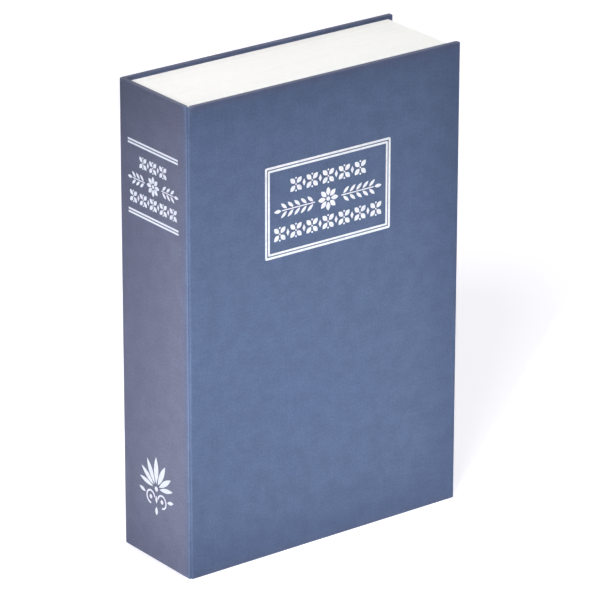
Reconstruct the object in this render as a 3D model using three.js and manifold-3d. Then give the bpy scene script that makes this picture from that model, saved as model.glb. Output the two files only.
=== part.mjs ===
// Book diversion safe: a hardback book case round a page block that hides a locking steel box.
// Millimetres. The book stands on its tail: +Z is up, the spine is at -X and the front cover at -Y.
// The origin is on the standing plane, under the middle of the closed book.

import * as THREE from 'three';
import { mergeVertices } from 'three/addons/utils/BufferGeometryUtils.js';
import Module from 'manifold-3d';

const wasm = await Module();
wasm.setup();

// Outside of the closed book
const BOOK_HEIGHT = 240;
const BOOK_WIDTH = 162;
const BOOK_THICKNESS = 55.5;

// Layers of the case: cloth outside, board inside it, cloth turned in over the edges, paper lining
const CLOTH = 0.4;
const BOARD = 1.9;
const LINING = 0.2;
const GLUE = 0.1;

// Shape of the case
const HEAD_SQUARE = 1.6;
const FORE_SQUARE = 3.2;
const TURN_IN = 15;
const TURN_IN_CORNER = 0.5;
const LINING_MARGIN = 4;
const LINING_FIT = 0.4;
const LINING_CORNER = 0.4;
const FOLD_RADIUS = 2;
const EDGE_RADIUS = 0.6;
const HEAD_ROUNDING = 0.4;
const BOARD_BUTT_GAP = 0.3;
const CREASE_WIDTH = 0.9;
const CREASE_DEPTH = 0.6;
const CREASE_SAG = 0.12;
const COVER_PLAY = 0.35;

// Page block: a moulded front and four moulded sides, with scored lines for the edges of its pages
const PAGE_WALL = 2.2;
const PAGE_FACE = 2;
const PAGE_MARGIN = 12;
const PAGE_EDGE_BREAK = 0.4;
const PAGE_LINE_COUNT = 28;
const PAGE_LINE_DEPTH = 0.14;
const PAGE_LINE_WIDTH = 0.6;
const RIM_LAP = 2.2;
const RIB = 1.6;
const RIB_STEP = 1;
const HEAD_RIBS = 4;
const SIDE_RIBS = 6;
const SEAT_GAP = 0.3;

// Steel box and its lid
const SHEET = 1;
const BOX_CORNER = 3;
const BEND_RADIUS = 1.4;
const LEAST_BEND = 0.1;
const LID_RECESS = 3.4;
const LID_GAP = 0.8;
const LID_CORNER = 2.4;
const MOUTH_FLANGE = 7;
const SKIRT_DEPTH = 6;
const SKIRT_CLEARANCE = 1;
const STACK_GAP = 0.1;

// Lid hinge: two leaves with knuckles that take turns on one pin
const LEAF = 0.8;
const BOX_LEAF_WIDTH = 6.3;
const LID_LEAF_WIDTH = 10;
const KNUCKLE_RADIUS = 1.9;
const KNUCKLE_COUNT = 13;
const KNUCKLE_GAP = 0.3;
const PIN_RADIUS = 1;
const PIN_CLEARANCE = 0.1;
const PIN_HEAD_RADIUS = 1.5;
const PIN_HEAD = 0.9;
const PIN_CROWN_RADIUS = 0.8;
const HINGE_END_GAP = 4;
const LID_EDGE_GAP = 0.5;
const FLANGE_UNDER_LID = 0.9;

// Cam lock in the lid
const LOCK_BACKSET = 13.8;
const BEZEL_RADIUS = 8.5;
const BEZEL = 2.2;
const BEZEL_ROUNDING = 1;
const BARREL_RADIUS = 6;
const BARREL_FLATS = 10;
const BARREL_LENGTH = 9.6;
const BARREL_FIT = 0.15;
const NUT_FLATS = 14;
const NUT = 2.5;
const PLUG_RADIUS = 4;
const PLUG_HEAD_RADIUS = 5.2;
const PLUG_HEAD = 1.3;
const PLUG_CLEARANCE = 0.1;
const PLUG_SQUARE = 5;
const KEYWAY_LENGTH = 5.4;
const KEYWAY_WIDTH = 1.1;
const KEYWAY_DEPTH = 7;
const KEYWAY_CORNER = 0.35;
const CAM = 1.5;
const CAM_WIDTH = 8;
const CAM_TAIL = 5.5;
const CAM_CRANK = 9;
const CAM_BEND = 0.6;
const CAM_CORNER = 2.8;
const CAM_BITE = 3.5;
const CAM_FIT = 0.15;
const CAM_CLEARANCE = 0.8;
const NOTCH_CLEARANCE = 0.8;
const WASHER = 0.7;
const WASHER_RADIUS = 4.2;
const CAM_SCREW_RADIUS = 1.5;
const CAM_SCREW_LENGTH = 5;
const SCREW_HEAD = 1.9;
const SCREW_HEAD_RADIUS = 3;
const SCREW_HEAD_ROUNDING = 1.3;
const SCREW_TIP = 0.9;
const SCREW_RECESS_WIDTH = 0.8;
const SCREW_RECESS_DEPTH = 0.9;
const SCREW_RECESS_REACH = 1.8;
const THREAD_GAP = 0.1;

// Screws that hold the box in the page block
const FRAME_SCREW_RADIUS = 1.5;
const FRAME_SCREW_LENGTH = 8;
const FRAME_SCREW_HOLE_GAP = 0.4;
const BOSS_RADIUS = 4;

// Facets round a circle and along a rounded edge, how far a cutter runs past what it cuts,
// and how near two corners are to count as one
const LARGE_ROUND = 48;
const ROUND = 32;
const SMALL_ROUND = 20;
const ARC_STEPS = 5;
const EDGE_STEPS = 3;
const THROUGH = 1;
const SAME_POINT = 1e-4;

// Planes of the closed book
const LEFT = -BOOK_WIDTH / 2;
const RIGHT = BOOK_WIDTH / 2;
const FRONT = -BOOK_THICKNESS / 2;
const BACK = BOOK_THICKNESS / 2;
const WRAP = BOARD + 2 * (CLOTH + GLUE);
const COVER = WRAP + GLUE + LINING;
const BOARD_INSET = CLOTH + GLUE;
const HALF_CREASE = CREASE_WIDTH / 2;
const CREASE_RUN = HALF_CREASE * Math.SQRT2;
const CREASE_FOOT = 2 * (WRAP + FOLD_RADIUS);

// Page block, steel box and their stack of faces from the front
const PAGE_RECT = {
  left: LEFT + COVER + GLUE,
  right: RIGHT - FORE_SQUARE,
  low: HEAD_SQUARE,
  high: BOOK_HEIGHT - HEAD_SQUARE,
};
const PAGE_FRONT = FRONT + COVER + COVER_PLAY;
const PAGE_SIDE_FRONT = PAGE_FRONT + PAGE_FACE + GLUE;
const PAGE_BACK = BACK - COVER - GLUE;
const BOX_RECT = shrink(PAGE_RECT, PAGE_MARGIN);
const WINDOW_RECT = shrink(BOX_RECT, RIM_LAP);
const LID_FRONT = PAGE_FRONT + LID_RECESS;
const LID_BACK = LID_FRONT + SHEET;
const FLANGE_FRONT = LID_BACK + STACK_GAP;
const FLANGE_BACK = FLANGE_FRONT + SHEET;

// Hinge and lock axes
const PIN_X = WINDOW_RECT.left + SEAT_GAP + BOX_LEAF_WIDTH + KNUCKLE_RADIUS;
const PIN_Y = LID_BACK - KNUCKLE_RADIUS;
const LID_HINGE_EDGE = PIN_X + KNUCKLE_RADIUS + LID_EDGE_GAP;
const MOUTH_RECT = {
  ...shrink(BOX_RECT, MOUTH_FLANGE),
  left: LID_HINGE_EDGE + FLANGE_UNDER_LID,
};
const LID_RECT = {
  ...shrink(WINDOW_RECT, LID_GAP),
  left: LID_HINGE_EDGE,
};
const LOCK_X = MOUTH_RECT.right - LOCK_BACKSET;
const LOCK_Z = (LID_RECT.low + LID_RECT.high) / 2;
const BARREL_BACK = LID_FRONT - STACK_GAP + BARREL_LENGTH;
const CAM_REACH = LOCK_BACKSET + CAM_BITE;

/** Moves the four sides of a rectangle inward. */
function shrink(rect, inset) {
  return {
    left: rect.left + inset,
    right: rect.right - inset,
    low: rect.low + inset,
    high: rect.high - inset,
  };
}

/** Turns a closed three.js geometry into a solid for joining and cutting. */
function solid(geometry) {
  const bare = geometry.index ? geometry.toNonIndexed() : geometry.clone();
  bare.deleteAttribute('normal');
  bare.deleteAttribute('uv');
  const merged = mergeVertices(bare, SAME_POINT);
  const mesh = new wasm.Mesh({
    numProp: 3,
    vertProperties: new Float32Array(merged.attributes.position.array),
    triVerts: new Uint32Array(merged.index.array),
  });
  mesh.merge();
  return new wasm.Manifold(mesh);
}

/** Turns a solid back into a three.js geometry. */
function surface(body) {
  const mesh = body.getMesh();
  const geometry = new THREE.BufferGeometry();
  geometry.setAttribute('position', new THREE.BufferAttribute(mesh.vertProperties, 3));
  geometry.setIndex(new THREE.BufferAttribute(mesh.triVerts, 1));
  geometry.computeVertexNormals();
  return geometry;
}

/** A box between two corners. */
function block(low, high) {
  const size = high.map((value, axis) => value - low[axis]);
  const geometry = new THREE.BoxGeometry(...size);
  geometry.translate(...low.map((value, axis) => value + size[axis] / 2));
  return solid(geometry);
}

/** Extrudes a plan outline along Z, with its two ends rounded if a rounding is given. */
function extrudeZ(shape, low, high, rounding = 0) {
  const geometry = new THREE.ExtrudeGeometry(shape, {
    depth: high - low - 2 * rounding,
    bevelEnabled: rounding > 0,
    bevelThickness: rounding,
    bevelSize: rounding,
    bevelOffset: -rounding,
    bevelSegments: EDGE_STEPS,
    curveSegments: ARC_STEPS,
  });
  geometry.translate(0, 0, low + rounding);
  return geometry;
}

/** Extrudes an outline drawn in X and Z along Y. */
function extrudeY(shape, low, high, rounding = 0) {
  const geometry = extrudeZ(shape, 0, high - low, rounding);
  geometry.rotateX(Math.PI / 2);
  geometry.translate(0, high, 0);
  return geometry;
}

/** A rectangle with round corners, drawn anticlockwise. */
function roundedRect(rect, radius) {
  const shape = new THREE.Shape();
  shape.moveTo(rect.left + radius, rect.low);
  shape.lineTo(rect.right - radius, rect.low);
  shape.absarc(rect.right - radius, rect.low + radius, radius, -Math.PI / 2, 0, false);
  shape.lineTo(rect.right, rect.high - radius);
  shape.absarc(rect.right - radius, rect.high - radius, radius, 0, Math.PI / 2, false);
  shape.lineTo(rect.left + radius, rect.high);
  shape.absarc(rect.left + radius, rect.high - radius, radius, Math.PI / 2, Math.PI, false);
  shape.lineTo(rect.left, rect.low + radius);
  shape.absarc(rect.left + radius, rect.low + radius, radius, Math.PI, 1.5 * Math.PI, false);
  shape.closePath();
  return shape;
}

/** A plate parallel to the covers, with round corners. */
function plate(rect, radius, front, back, rounding = 0) {
  return solid(extrudeY(roundedRect(rect, radius), front, back, rounding));
}

/** A solid of revolution about an axis along Y, from [radius, y] pairs that run front to back. */
function turnedY(profile, facets = ROUND) {
  const points = profile.map(([radius, y]) => new THREE.Vector2(radius, y));
  return solid(new THREE.LatheGeometry(points, facets));
}

/** A solid of revolution about an axis along Z, from [radius, z] pairs that run upward. */
function turnedZ(profile, facets = SMALL_ROUND) {
  const points = profile.map(([radius, z]) => new THREE.Vector2(radius, z));
  const geometry = new THREE.LatheGeometry(points, facets);
  geometry.rotateX(Math.PI / 2);
  return solid(geometry);
}

/** Points of [radius, y] pairs round a disc's front edge, from its face out to its rim. */
function roundEdge(radius, front, rounding) {
  const points = [];
  for (let step = 0; step <= EDGE_STEPS; step += 1) {
    const angle = (Math.PI / 2) * (step / EDGE_STEPS);
    points.push([radius - rounding * (1 - Math.sin(angle)), front + rounding * (1 - Math.cos(angle))]);
  }
  return points;
}

/** A round bar along Y, centred on its own axis. */
function barY(radius, front, back, facets = ROUND) {
  return turnedY([[0, front], [radius, front], [radius, back], [0, back]], facets);
}

/** A round bar along Z, centred on its own axis. */
function barZ(radius, low, high, facets = SMALL_ROUND) {
  return turnedZ([[0, low], [radius, low], [radius, high], [0, high]], facets);
}

/** Plan of the spine and back cover in one, with a foot past the crease, every face moved inward. */
function casePlan(inset) {
  const left = LEFT + inset;
  const right = RIGHT - inset;
  const back = BACK - inset;
  const innerLeft = LEFT + WRAP - inset;
  const innerBack = BACK - WRAP + inset;
  const edge = Math.max(EDGE_RADIUS - inset, 0);
  const fold = FOLD_RADIUS - inset;
  const shape = new THREE.Shape();
  shape.moveTo(left + CREASE_FOOT, FRONT + WRAP - inset);
  shape.lineTo(innerLeft, FRONT + WRAP - inset);
  shape.lineTo(innerLeft, innerBack);
  shape.absarc(right - edge, innerBack + edge, edge, -Math.PI / 2, 0, false);
  shape.absarc(right - edge, back - edge, edge, 0, Math.PI / 2, false);
  shape.absarc(left + fold, back - fold, fold, Math.PI / 2, Math.PI, false);
  shape.absarc(left + fold, FRONT + inset + fold, fold, Math.PI, 1.5 * Math.PI, false);
  shape.lineTo(left + CREASE_FOOT, FRONT + inset);
  shape.closePath();
  return shape;
}

/** Plan of the front cover, with a foot past the crease, every face moved inward. */
function frontPlan(inset) {
  const left = LEFT + inset;
  const right = RIGHT - inset;
  const front = FRONT + inset;
  const innerLeft = LEFT + WRAP - inset;
  const innerFront = FRONT + WRAP - inset;
  const edge = Math.max(EDGE_RADIUS - inset, 0);
  const fold = FOLD_RADIUS - inset;
  const shape = new THREE.Shape();
  shape.moveTo(left, front + CREASE_FOOT);
  shape.absarc(left + fold, front + fold, fold, Math.PI, 1.5 * Math.PI, false);
  shape.absarc(right - edge, front + edge, edge, -Math.PI / 2, 0, false);
  shape.absarc(right - edge, innerFront - edge, edge, 0, Math.PI / 2, false);
  shape.lineTo(innerLeft, innerFront);
  shape.lineTo(innerLeft, front + CREASE_FOOT);
  shape.closePath();
  return shape;
}

/** The space round the spine corner that a cover keeps out of: side 1 is the case, -1 the front cover. */
function acrossCrease(side, cut) {
  const reach = 2 * CREASE_FOOT;
  const low = [-reach, side > 0 ? -reach : -cut, -THROUGH];
  const high = [reach, side > 0 ? cut : reach, BOOK_HEIGHT + THROUGH];
  return block(low, high).rotate([0, 0, 45]).translate([LEFT, FRONT, 0]);
}

/** A cover's plan carried from tail to head and cut off at the crease. */
function coverBody(side, inset, rounding = 0) {
  const plan = side > 0 ? casePlan(inset) : frontPlan(inset);
  const body = solid(extrudeZ(plan, inset, BOOK_HEIGHT - inset, rounding));
  return body.subtract(acrossCrease(side, HALF_CREASE + inset));
}

/** Cloth round a cover: a rounded wrap that is hollow for its board. */
function clothWrap(side) {
  return coverBody(side, 0, HEAD_ROUNDING).subtract(coverBody(side, CLOTH));
}

/** The window that the turned-in cloth leaves on the inner face of a cover. */
function coverWindow(inset) {
  return {
    left: LEFT + WRAP + CREASE_RUN + LINING_MARGIN + inset,
    right: RIGHT - TURN_IN - inset,
    low: TURN_IN + inset,
    high: BOOK_HEIGHT - TURN_IN - inset,
  };
}

/** The rectangle of a cover's paper lining. */
function liningRect() {
  return {
    left: LEFT + COVER + CREASE_RUN + LINING_FIT,
    right: RIGHT - LINING_MARGIN,
    low: LINING_MARGIN,
    high: BOOK_HEIGHT - LINING_MARGIN,
  };
}

function frontCloth() {
  const inner = FRONT + WRAP;
  const opening = plate(coverWindow(0), TURN_IN_CORNER, inner - CLOTH - GLUE, inner + THROUGH);
  return clothWrap(-1).subtract(opening);
}

function frontBoard() {
  return coverBody(-1, BOARD_INSET);
}

/** Paper lining of a cover, drawn down into the window between the turn-ins. */
function coverLining(innerFace, inward) {
  const sheetFront = Math.min(innerFace + inward * GLUE, innerFace + inward * (GLUE + LINING));
  const sheet = plate(liningRect(), LINING_CORNER, sheetFront, sheetFront + LINING);
  const sunk = [innerFace + inward * (GLUE + LINING / 2), innerFace - inward * CLOTH];
  const pad = plate(coverWindow(LINING_FIT), LINING_CORNER, Math.min(...sunk), Math.max(...sunk));
  return sheet.add(pad);
}

function frontLining() {
  return coverLining(FRONT + WRAP, 1);
}

function backLining() {
  return coverLining(BACK - WRAP, -1);
}

/** One cloth over the spine and back cover, open inside the turn-ins. */
function caseCloth() {
  const innerBack = BACK - WRAP;
  const innerLeft = LEFT + WRAP;
  const backOpening = plate(
    coverWindow(0), TURN_IN_CORNER, innerBack - THROUGH, innerBack + CLOTH + GLUE);
  const spineOpening = block(
    [innerLeft - CLOTH - GLUE, FRONT + COVER + LINING_MARGIN, TURN_IN],
    [innerLeft + THROUGH, innerBack - LINING_MARGIN, BOOK_HEIGHT - TURN_IN],
  );
  return clothWrap(1).subtract(backOpening).subtract(spineOpening);
}

/** Boards of the spine and back cover before they are parted. */
function caseBoards() {
  return coverBody(1, BOARD_INSET);
}

function backBoard() {
  const butt = BACK - WRAP + BOARD_INSET;
  const keep = block(
    [LEFT - THROUGH, butt, -THROUGH],
    [RIGHT + THROUGH, BACK + THROUGH, BOOK_HEIGHT + THROUGH],
  );
  return caseBoards().intersect(keep);
}

function spineBoard() {
  const butt = BACK - WRAP + BOARD_INSET - BOARD_BUTT_GAP;
  const keep = block(
    [LEFT - THROUGH, FRONT - THROUGH, -THROUGH],
    [LEFT + COVER, butt, BOOK_HEIGHT + THROUGH],
  );
  return caseBoards().intersect(keep);
}

/** Paper lining between the spine and the page block. */
function spineLining() {
  const innerLeft = LEFT + WRAP;
  const sheet = block(
    [innerLeft + GLUE, FRONT + COVER + LINING_FIT, LINING_MARGIN],
    [innerLeft + GLUE + LINING, BACK - COVER - LINING_FIT, BOOK_HEIGHT - LINING_MARGIN],
  );
  const padFront = FRONT + COVER + LINING_MARGIN + LINING_FIT;
  const padBack = BACK - WRAP - LINING_MARGIN - LINING_FIT;
  const pad = block(
    [innerLeft - CLOTH, padFront, TURN_IN + LINING_FIT],
    [innerLeft + GLUE + LINING / 2, padBack, BOOK_HEIGHT - TURN_IN - LINING_FIT],
  );
  return sheet.add(pad);
}

/** Cloth pressed into the crease between spine and front cover: the flexible hinge of the cover. */
function hingeCloth() {
  const halfWidth = HALF_CREASE - GLUE;
  const outer = FOLD_RADIUS - CREASE_DEPTH;
  const inner = outer - CLOTH;
  const shape = new THREE.Shape();
  shape.moveTo(-outer, -halfWidth);
  shape.quadraticCurveTo(-outer + 2 * CREASE_SAG, 0, -outer, halfWidth);
  shape.lineTo(-inner, halfWidth);
  shape.quadraticCurveTo(-inner + 2 * CREASE_SAG, 0, -inner, -halfWidth);
  shape.closePath();
  const geometry = extrudeZ(shape, 0, BOOK_HEIGHT);
  geometry.rotateZ(Math.PI / 4);
  geometry.translate(LEFT + FOLD_RADIUS, FRONT + FOLD_RADIUS, 0);
  return solid(geometry);
}

/** A square-cornered ring round a rectangle, from a closed profile of [inward, y] points. */
function mitredRing(rect, profile) {
  const corners = [[rect.left, rect.low, 1, 1], [rect.right, rect.low, -1, 1],
    [rect.right, rect.high, -1, -1], [rect.left, rect.high, 1, -1]];
  const positions = [];
  for (const [x, z, inX, inZ] of corners) {
    for (const [inward, y] of profile) {
      positions.push(x + inX * inward, y, z + inZ * inward);
    }
  }
  const count = profile.length;
  const triangles = [];
  for (let corner = 0; corner < 4; corner += 1) {
    for (let point = 0; point < count; point += 1) {
      const here = corner * count + point;
      const along = corner * count + (point + 1) % count;
      const next = ((corner + 1) % 4) * count + point;
      const both = ((corner + 1) % 4) * count + (point + 1) % count;
      triangles.push(here, along, next, next, along, both);
    }
  }
  const geometry = new THREE.BufferGeometry();
  geometry.setAttribute('position', new THREE.Float32BufferAttribute(positions, 3));
  geometry.setIndex(triangles);
  return solid(geometry);
}

/** Points of [inward, y] pairs down a scored edge of the page block. */
function scoredEdge(front, back, lines) {
  const points = [];
  const pitch = (back - front) / lines;
  for (let line = 0; line < lines; line += 1) {
    const next = front + pitch * (line + 1);
    points.push([0, next - pitch]);
    points.push([0, next - PAGE_LINE_WIDTH]);
    points.push([PAGE_LINE_DEPTH, next - PAGE_LINE_WIDTH / 2]);
  }
  points.push([0, back]);
  return points;
}

/** Four scored walls of the page block in one ring. */
function pageWalls() {
  return mitredRing(PAGE_RECT, [
    ...scoredEdge(PAGE_SIDE_FRONT, PAGE_BACK, PAGE_LINE_COUNT),
    [PAGE_WALL, PAGE_BACK],
    [PAGE_WALL, PAGE_SIDE_FRONT],
  ]);
}

/** Front of the page block round the lid, and its lip that seats on the box rim. */
function pageFace() {
  const back = PAGE_FRONT + PAGE_FACE;
  const rim = mitredRing(PAGE_RECT, [
    [PAGE_EDGE_BREAK, PAGE_FRONT],
    ...scoredEdge(PAGE_FRONT + PAGE_EDGE_BREAK, back, 1),
    [PAGE_WALL, back],
    [PAGE_WALL, PAGE_FRONT],
  ]);
  const middle = plate(shrink(PAGE_RECT, PAGE_WALL / 2), PAGE_EDGE_BREAK, PAGE_FRONT, back);
  const lip = plate(BOX_RECT, BOX_CORNER, PAGE_FRONT + PAGE_FACE / 2, FLANGE_FRONT - STACK_GAP);
  const opening = plate(WINDOW_RECT, BOX_CORNER, PAGE_FRONT - THROUGH, FLANGE_FRONT + THROUGH);
  return rim.add(middle).add(lip).subtract(opening);
}

/** Centres of ribs spread evenly between two ends. */
function evenly(low, high, count) {
  const places = [];
  for (let index = 0; index < count; index += 1) {
    places.push(low + (high - low) * (index + 0.5) / count);
  }
  return places;
}

/** X places of the frame screws: the outermost ribs at head and tail. */
function screwPlaces() {
  const places = evenly(BOX_RECT.left, BOX_RECT.right, HEAD_RIBS);
  return [places[0], places[HEAD_RIBS - 1]];
}

/** Ribs inside the page block that stand between its wall and the box. */
function pageRibs() {
  const ribs = [];
  const front = PAGE_SIDE_FRONT + RIB_STEP;
  const back = PAGE_BACK - RIB_STEP;
  const wall = shrink(PAGE_RECT, PAGE_WALL / 2);
  const seat = shrink(BOX_RECT, -SEAT_GAP);
  for (const x of evenly(BOX_RECT.left, BOX_RECT.right, HEAD_RIBS)) {
    ribs.push(block([x - RIB / 2, front, seat.high], [x + RIB / 2, back, wall.high]));
    ribs.push(block([x - RIB / 2, front, wall.low], [x + RIB / 2, back, seat.low]));
  }
  for (const z of evenly(BOX_RECT.low, BOX_RECT.high, SIDE_RIBS)) {
    ribs.push(block([seat.right, front, z - RIB / 2], [wall.right, back, z + RIB / 2]));
    ribs.push(block([wall.left, front, z - RIB / 2], [seat.left, back, z + RIB / 2]));
  }
  return wasm.Manifold.union(ribs);
}

/** Y place of the frame screws, half way down the box. */
function screwDepth() {
  return (FLANGE_BACK + PAGE_BACK) / 2;
}

/** Round bosses at head and tail that take the frame screws, and their pilot holes. */
function screwBosses() {
  const bosses = [];
  const holes = [];
  const depth = screwDepth();
  const anchor = PAGE_WALL / 2;
  const pilot = FRAME_SCREW_RADIUS + THREAD_GAP;
  const reach = FRAME_SCREW_LENGTH - SHEET + SEAT_GAP;
  for (const x of screwPlaces()) {
    const high = barZ(BOSS_RADIUS, BOX_RECT.high + SEAT_GAP, PAGE_RECT.high - anchor);
    const low = barZ(BOSS_RADIUS, PAGE_RECT.low + anchor, BOX_RECT.low - SEAT_GAP);
    bosses.push(high.translate([x, depth, 0]), low.translate([x, depth, 0]));
    const highHole = barZ(pilot, BOX_RECT.high, BOX_RECT.high + reach);
    const lowHole = barZ(pilot, BOX_RECT.low - reach, BOX_RECT.low);
    holes.push(highHole.translate([x, depth, 0]), lowHole.translate([x, depth, 0]));
  }
  return { bosses: wasm.Manifold.union(bosses), holes: wasm.Manifold.union(holes) };
}

/** The space over one side of the page block, with mitred ends that leave a glue gap at the corners. */
function sideWedge(side) {
  const outer = shrink(PAGE_RECT, -THROUGH);
  const inner = BOX_RECT;
  const gap = GLUE / Math.SQRT2;
  const corners = {
    head: [[outer.left + gap, outer.high], [inner.left + gap, inner.high],
      [inner.right - gap, inner.high], [outer.right - gap, outer.high]],
    tail: [[outer.left + gap, outer.low], [outer.right - gap, outer.low],
      [inner.right - gap, inner.low], [inner.left + gap, inner.low]],
    fore: [[outer.right, outer.low + gap], [outer.right, outer.high - gap],
      [inner.right, inner.high - gap], [inner.right, inner.low + gap]],
    spine: [[outer.left, outer.high - gap], [outer.left, outer.low + gap],
      [inner.left, inner.low + gap], [inner.left, inner.high - gap]],
  };
  const shape = new THREE.Shape(corners[side].map(([x, z]) => new THREE.Vector2(x, z)));
  return solid(extrudeY(shape, PAGE_FRONT - THROUGH, PAGE_BACK + THROUGH));
}

/** Walls, ribs and bosses of the page block before its sides are parted. */
function pageShell() {
  const { bosses, holes } = screwBosses();
  return pageWalls().add(pageRibs()).add(bosses).subtract(holes);
}

/** Pressed tray of the steel box with its inward flange and mouth. */
function boxBody() {
  const outside = plate(BOX_RECT, BOX_CORNER, FLANGE_FRONT, PAGE_BACK, BEND_RADIUS);
  const bend = Math.max(BEND_RADIUS - SHEET, LEAST_BEND);
  const insideRect = shrink(BOX_RECT, SHEET);
  const inside = plate(insideRect, BOX_CORNER - SHEET, FLANGE_BACK, PAGE_BACK - SHEET, bend);
  const mouth = plate(MOUTH_RECT, BOX_CORNER, FLANGE_FRONT - THROUGH, FLANGE_BACK + THROUGH);
  const holes = [];
  const radius = FRAME_SCREW_RADIUS + FRAME_SCREW_HOLE_GAP;
  for (const x of screwPlaces()) {
    for (const wall of [BOX_RECT.low, BOX_RECT.high - SHEET]) {
      holes.push(barZ(radius, wall - THROUGH, wall + SHEET + THROUGH).translate([x, screwDepth(), 0]));
    }
  }
  return outside.subtract(inside).subtract(mouth).subtract(wasm.Manifold.union(holes));
}

/** Outline of the lock barrel with its two flats, grown by a clearance. */
function barrelSection(growth, front, back) {
  const radius = BARREL_RADIUS + growth;
  const half = BARREL_FLATS / 2 + growth;
  const reach = radius + THROUGH;
  const flats = block([-half, front - THROUGH, -reach], [half, back + THROUGH, reach]);
  return barY(radius, front, back).intersect(flats);
}

/** Moves a piece drawn about the lock's axis to its place in the lid. */
function atLock(piece) {
  return piece.translate([LOCK_X, 0, LOCK_Z]);
}

/** Folded lid with skirts on its three free sides, a notch for the cam and a keyed hole for the lock. */
function lidPanel() {
  const panel = plate(LID_RECT, LID_CORNER, LID_FRONT, LID_BACK);
  const skirtRect = shrink(MOUTH_RECT, SKIRT_CLEARANCE);
  const skirtBack = LID_BACK + SKIRT_DEPTH;
  const outer = plate(skirtRect, BOX_CORNER - SKIRT_CLEARANCE, LID_BACK - SHEET / 2, skirtBack);
  const inner = plate(shrink(skirtRect, SHEET), BOX_CORNER - SKIRT_CLEARANCE - SHEET / 2,
    LID_BACK - SHEET, skirtBack + THROUGH);
  const hingeSide = block(
    [LID_RECT.left - THROUGH, LID_BACK, LID_RECT.low],
    [skirtRect.left + BOX_CORNER, skirtBack + THROUGH, LID_RECT.high],
  );
  const sweep = Math.hypot(CAM_REACH, CAM_WIDTH / 2);
  const notchHigh = Math.sqrt(sweep ** 2 - (skirtRect.right - SHEET - LOCK_X) ** 2) + NOTCH_CLEARANCE;
  const notch = block(
    [skirtRect.right - SHEET - THROUGH, LID_BACK, LOCK_Z - CAM_WIDTH / 2 - NOTCH_CLEARANCE],
    [skirtRect.right + THROUGH, skirtBack + THROUGH, LOCK_Z + notchHigh],
  );
  const skirts = outer.subtract(inner).subtract(hingeSide).subtract(notch);
  const lockHole = atLock(barrelSection(BARREL_FIT, LID_FRONT - THROUGH, LID_BACK + THROUGH));
  return panel.add(skirts).subtract(lockHole);
}

/** Height range of the lid hinge. */
function hingeSpan() {
  return {
    low: MOUTH_RECT.low + HINGE_END_GAP,
    high: MOUTH_RECT.high - HINGE_END_GAP,
  };
}

/** Height ranges of the knuckles that belong to one leaf: first is 0 for the box leaf, 1 for the lid's. */
function knuckleRanges(first) {
  const span = hingeSpan();
  const pitch = (span.high - span.low + KNUCKLE_GAP) / KNUCKLE_COUNT;
  const ranges = [];
  for (let index = first; index < KNUCKLE_COUNT; index += 2) {
    const low = span.low + pitch * index;
    ranges.push([low, low + pitch - KNUCKLE_GAP]);
  }
  return ranges;
}

/** A hinge leaf: a flat strip with a curl round the pin at each of its knuckles. */
function hingeLeaf(first, flat, side) {
  const span = hingeSpan();
  const strip = block([flat.left, flat.front, span.low], [flat.right, flat.front + LEAF, span.high]);
  const pieces = [strip];
  const edge = side > 0 ? flat.left : flat.right;
  for (const [low, high] of knuckleRanges(first)) {
    pieces.push(barZ(KNUCKLE_RADIUS, low, high).translate([PIN_X, PIN_Y, 0]));
    const tabLow = [Math.min(edge, PIN_X), flat.front, low];
    const tabHigh = [Math.max(edge, PIN_X), flat.front + LEAF, high];
    pieces.push(block(tabLow, tabHigh));
  }
  const bore = barZ(PIN_RADIUS + PIN_CLEARANCE, span.low - THROUGH, span.high + THROUGH);
  return wasm.Manifold.union(pieces).subtract(bore.translate([PIN_X, PIN_Y, 0]));
}

function boxLeaf() {
  const flat = {
    left: WINDOW_RECT.left + SEAT_GAP,
    right: PIN_X - KNUCKLE_RADIUS - KNUCKLE_GAP,
    front: FLANGE_FRONT - STACK_GAP - LEAF,
  };
  return hingeLeaf(0, flat, -1);
}

function lidLeaf() {
  const left = PIN_X + KNUCKLE_RADIUS + KNUCKLE_GAP;
  const flat = {
    left,
    right: left + LID_LEAF_WIDTH,
    front: LID_FRONT - STACK_GAP - LEAF,
  };
  return hingeLeaf(1, flat, 1);
}

/** Hinge pin with a peened head past each end knuckle. */
function hingePin() {
  const span = hingeSpan();
  const low = span.low - KNUCKLE_GAP;
  const high = span.high + KNUCKLE_GAP;
  const pin = turnedZ([
    [0, low - PIN_HEAD],
    [PIN_CROWN_RADIUS, low - PIN_HEAD],
    [PIN_HEAD_RADIUS, low - PIN_HEAD / 2],
    [PIN_HEAD_RADIUS, low],
    [PIN_RADIUS, low],
    [PIN_RADIUS, high],
    [PIN_HEAD_RADIUS, high],
    [PIN_HEAD_RADIUS, high + PIN_HEAD / 2],
    [PIN_CROWN_RADIUS, high + PIN_HEAD],
    [0, high + PIN_HEAD],
  ]);
  return pin.translate([PIN_X, PIN_Y, 0]);
}

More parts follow.
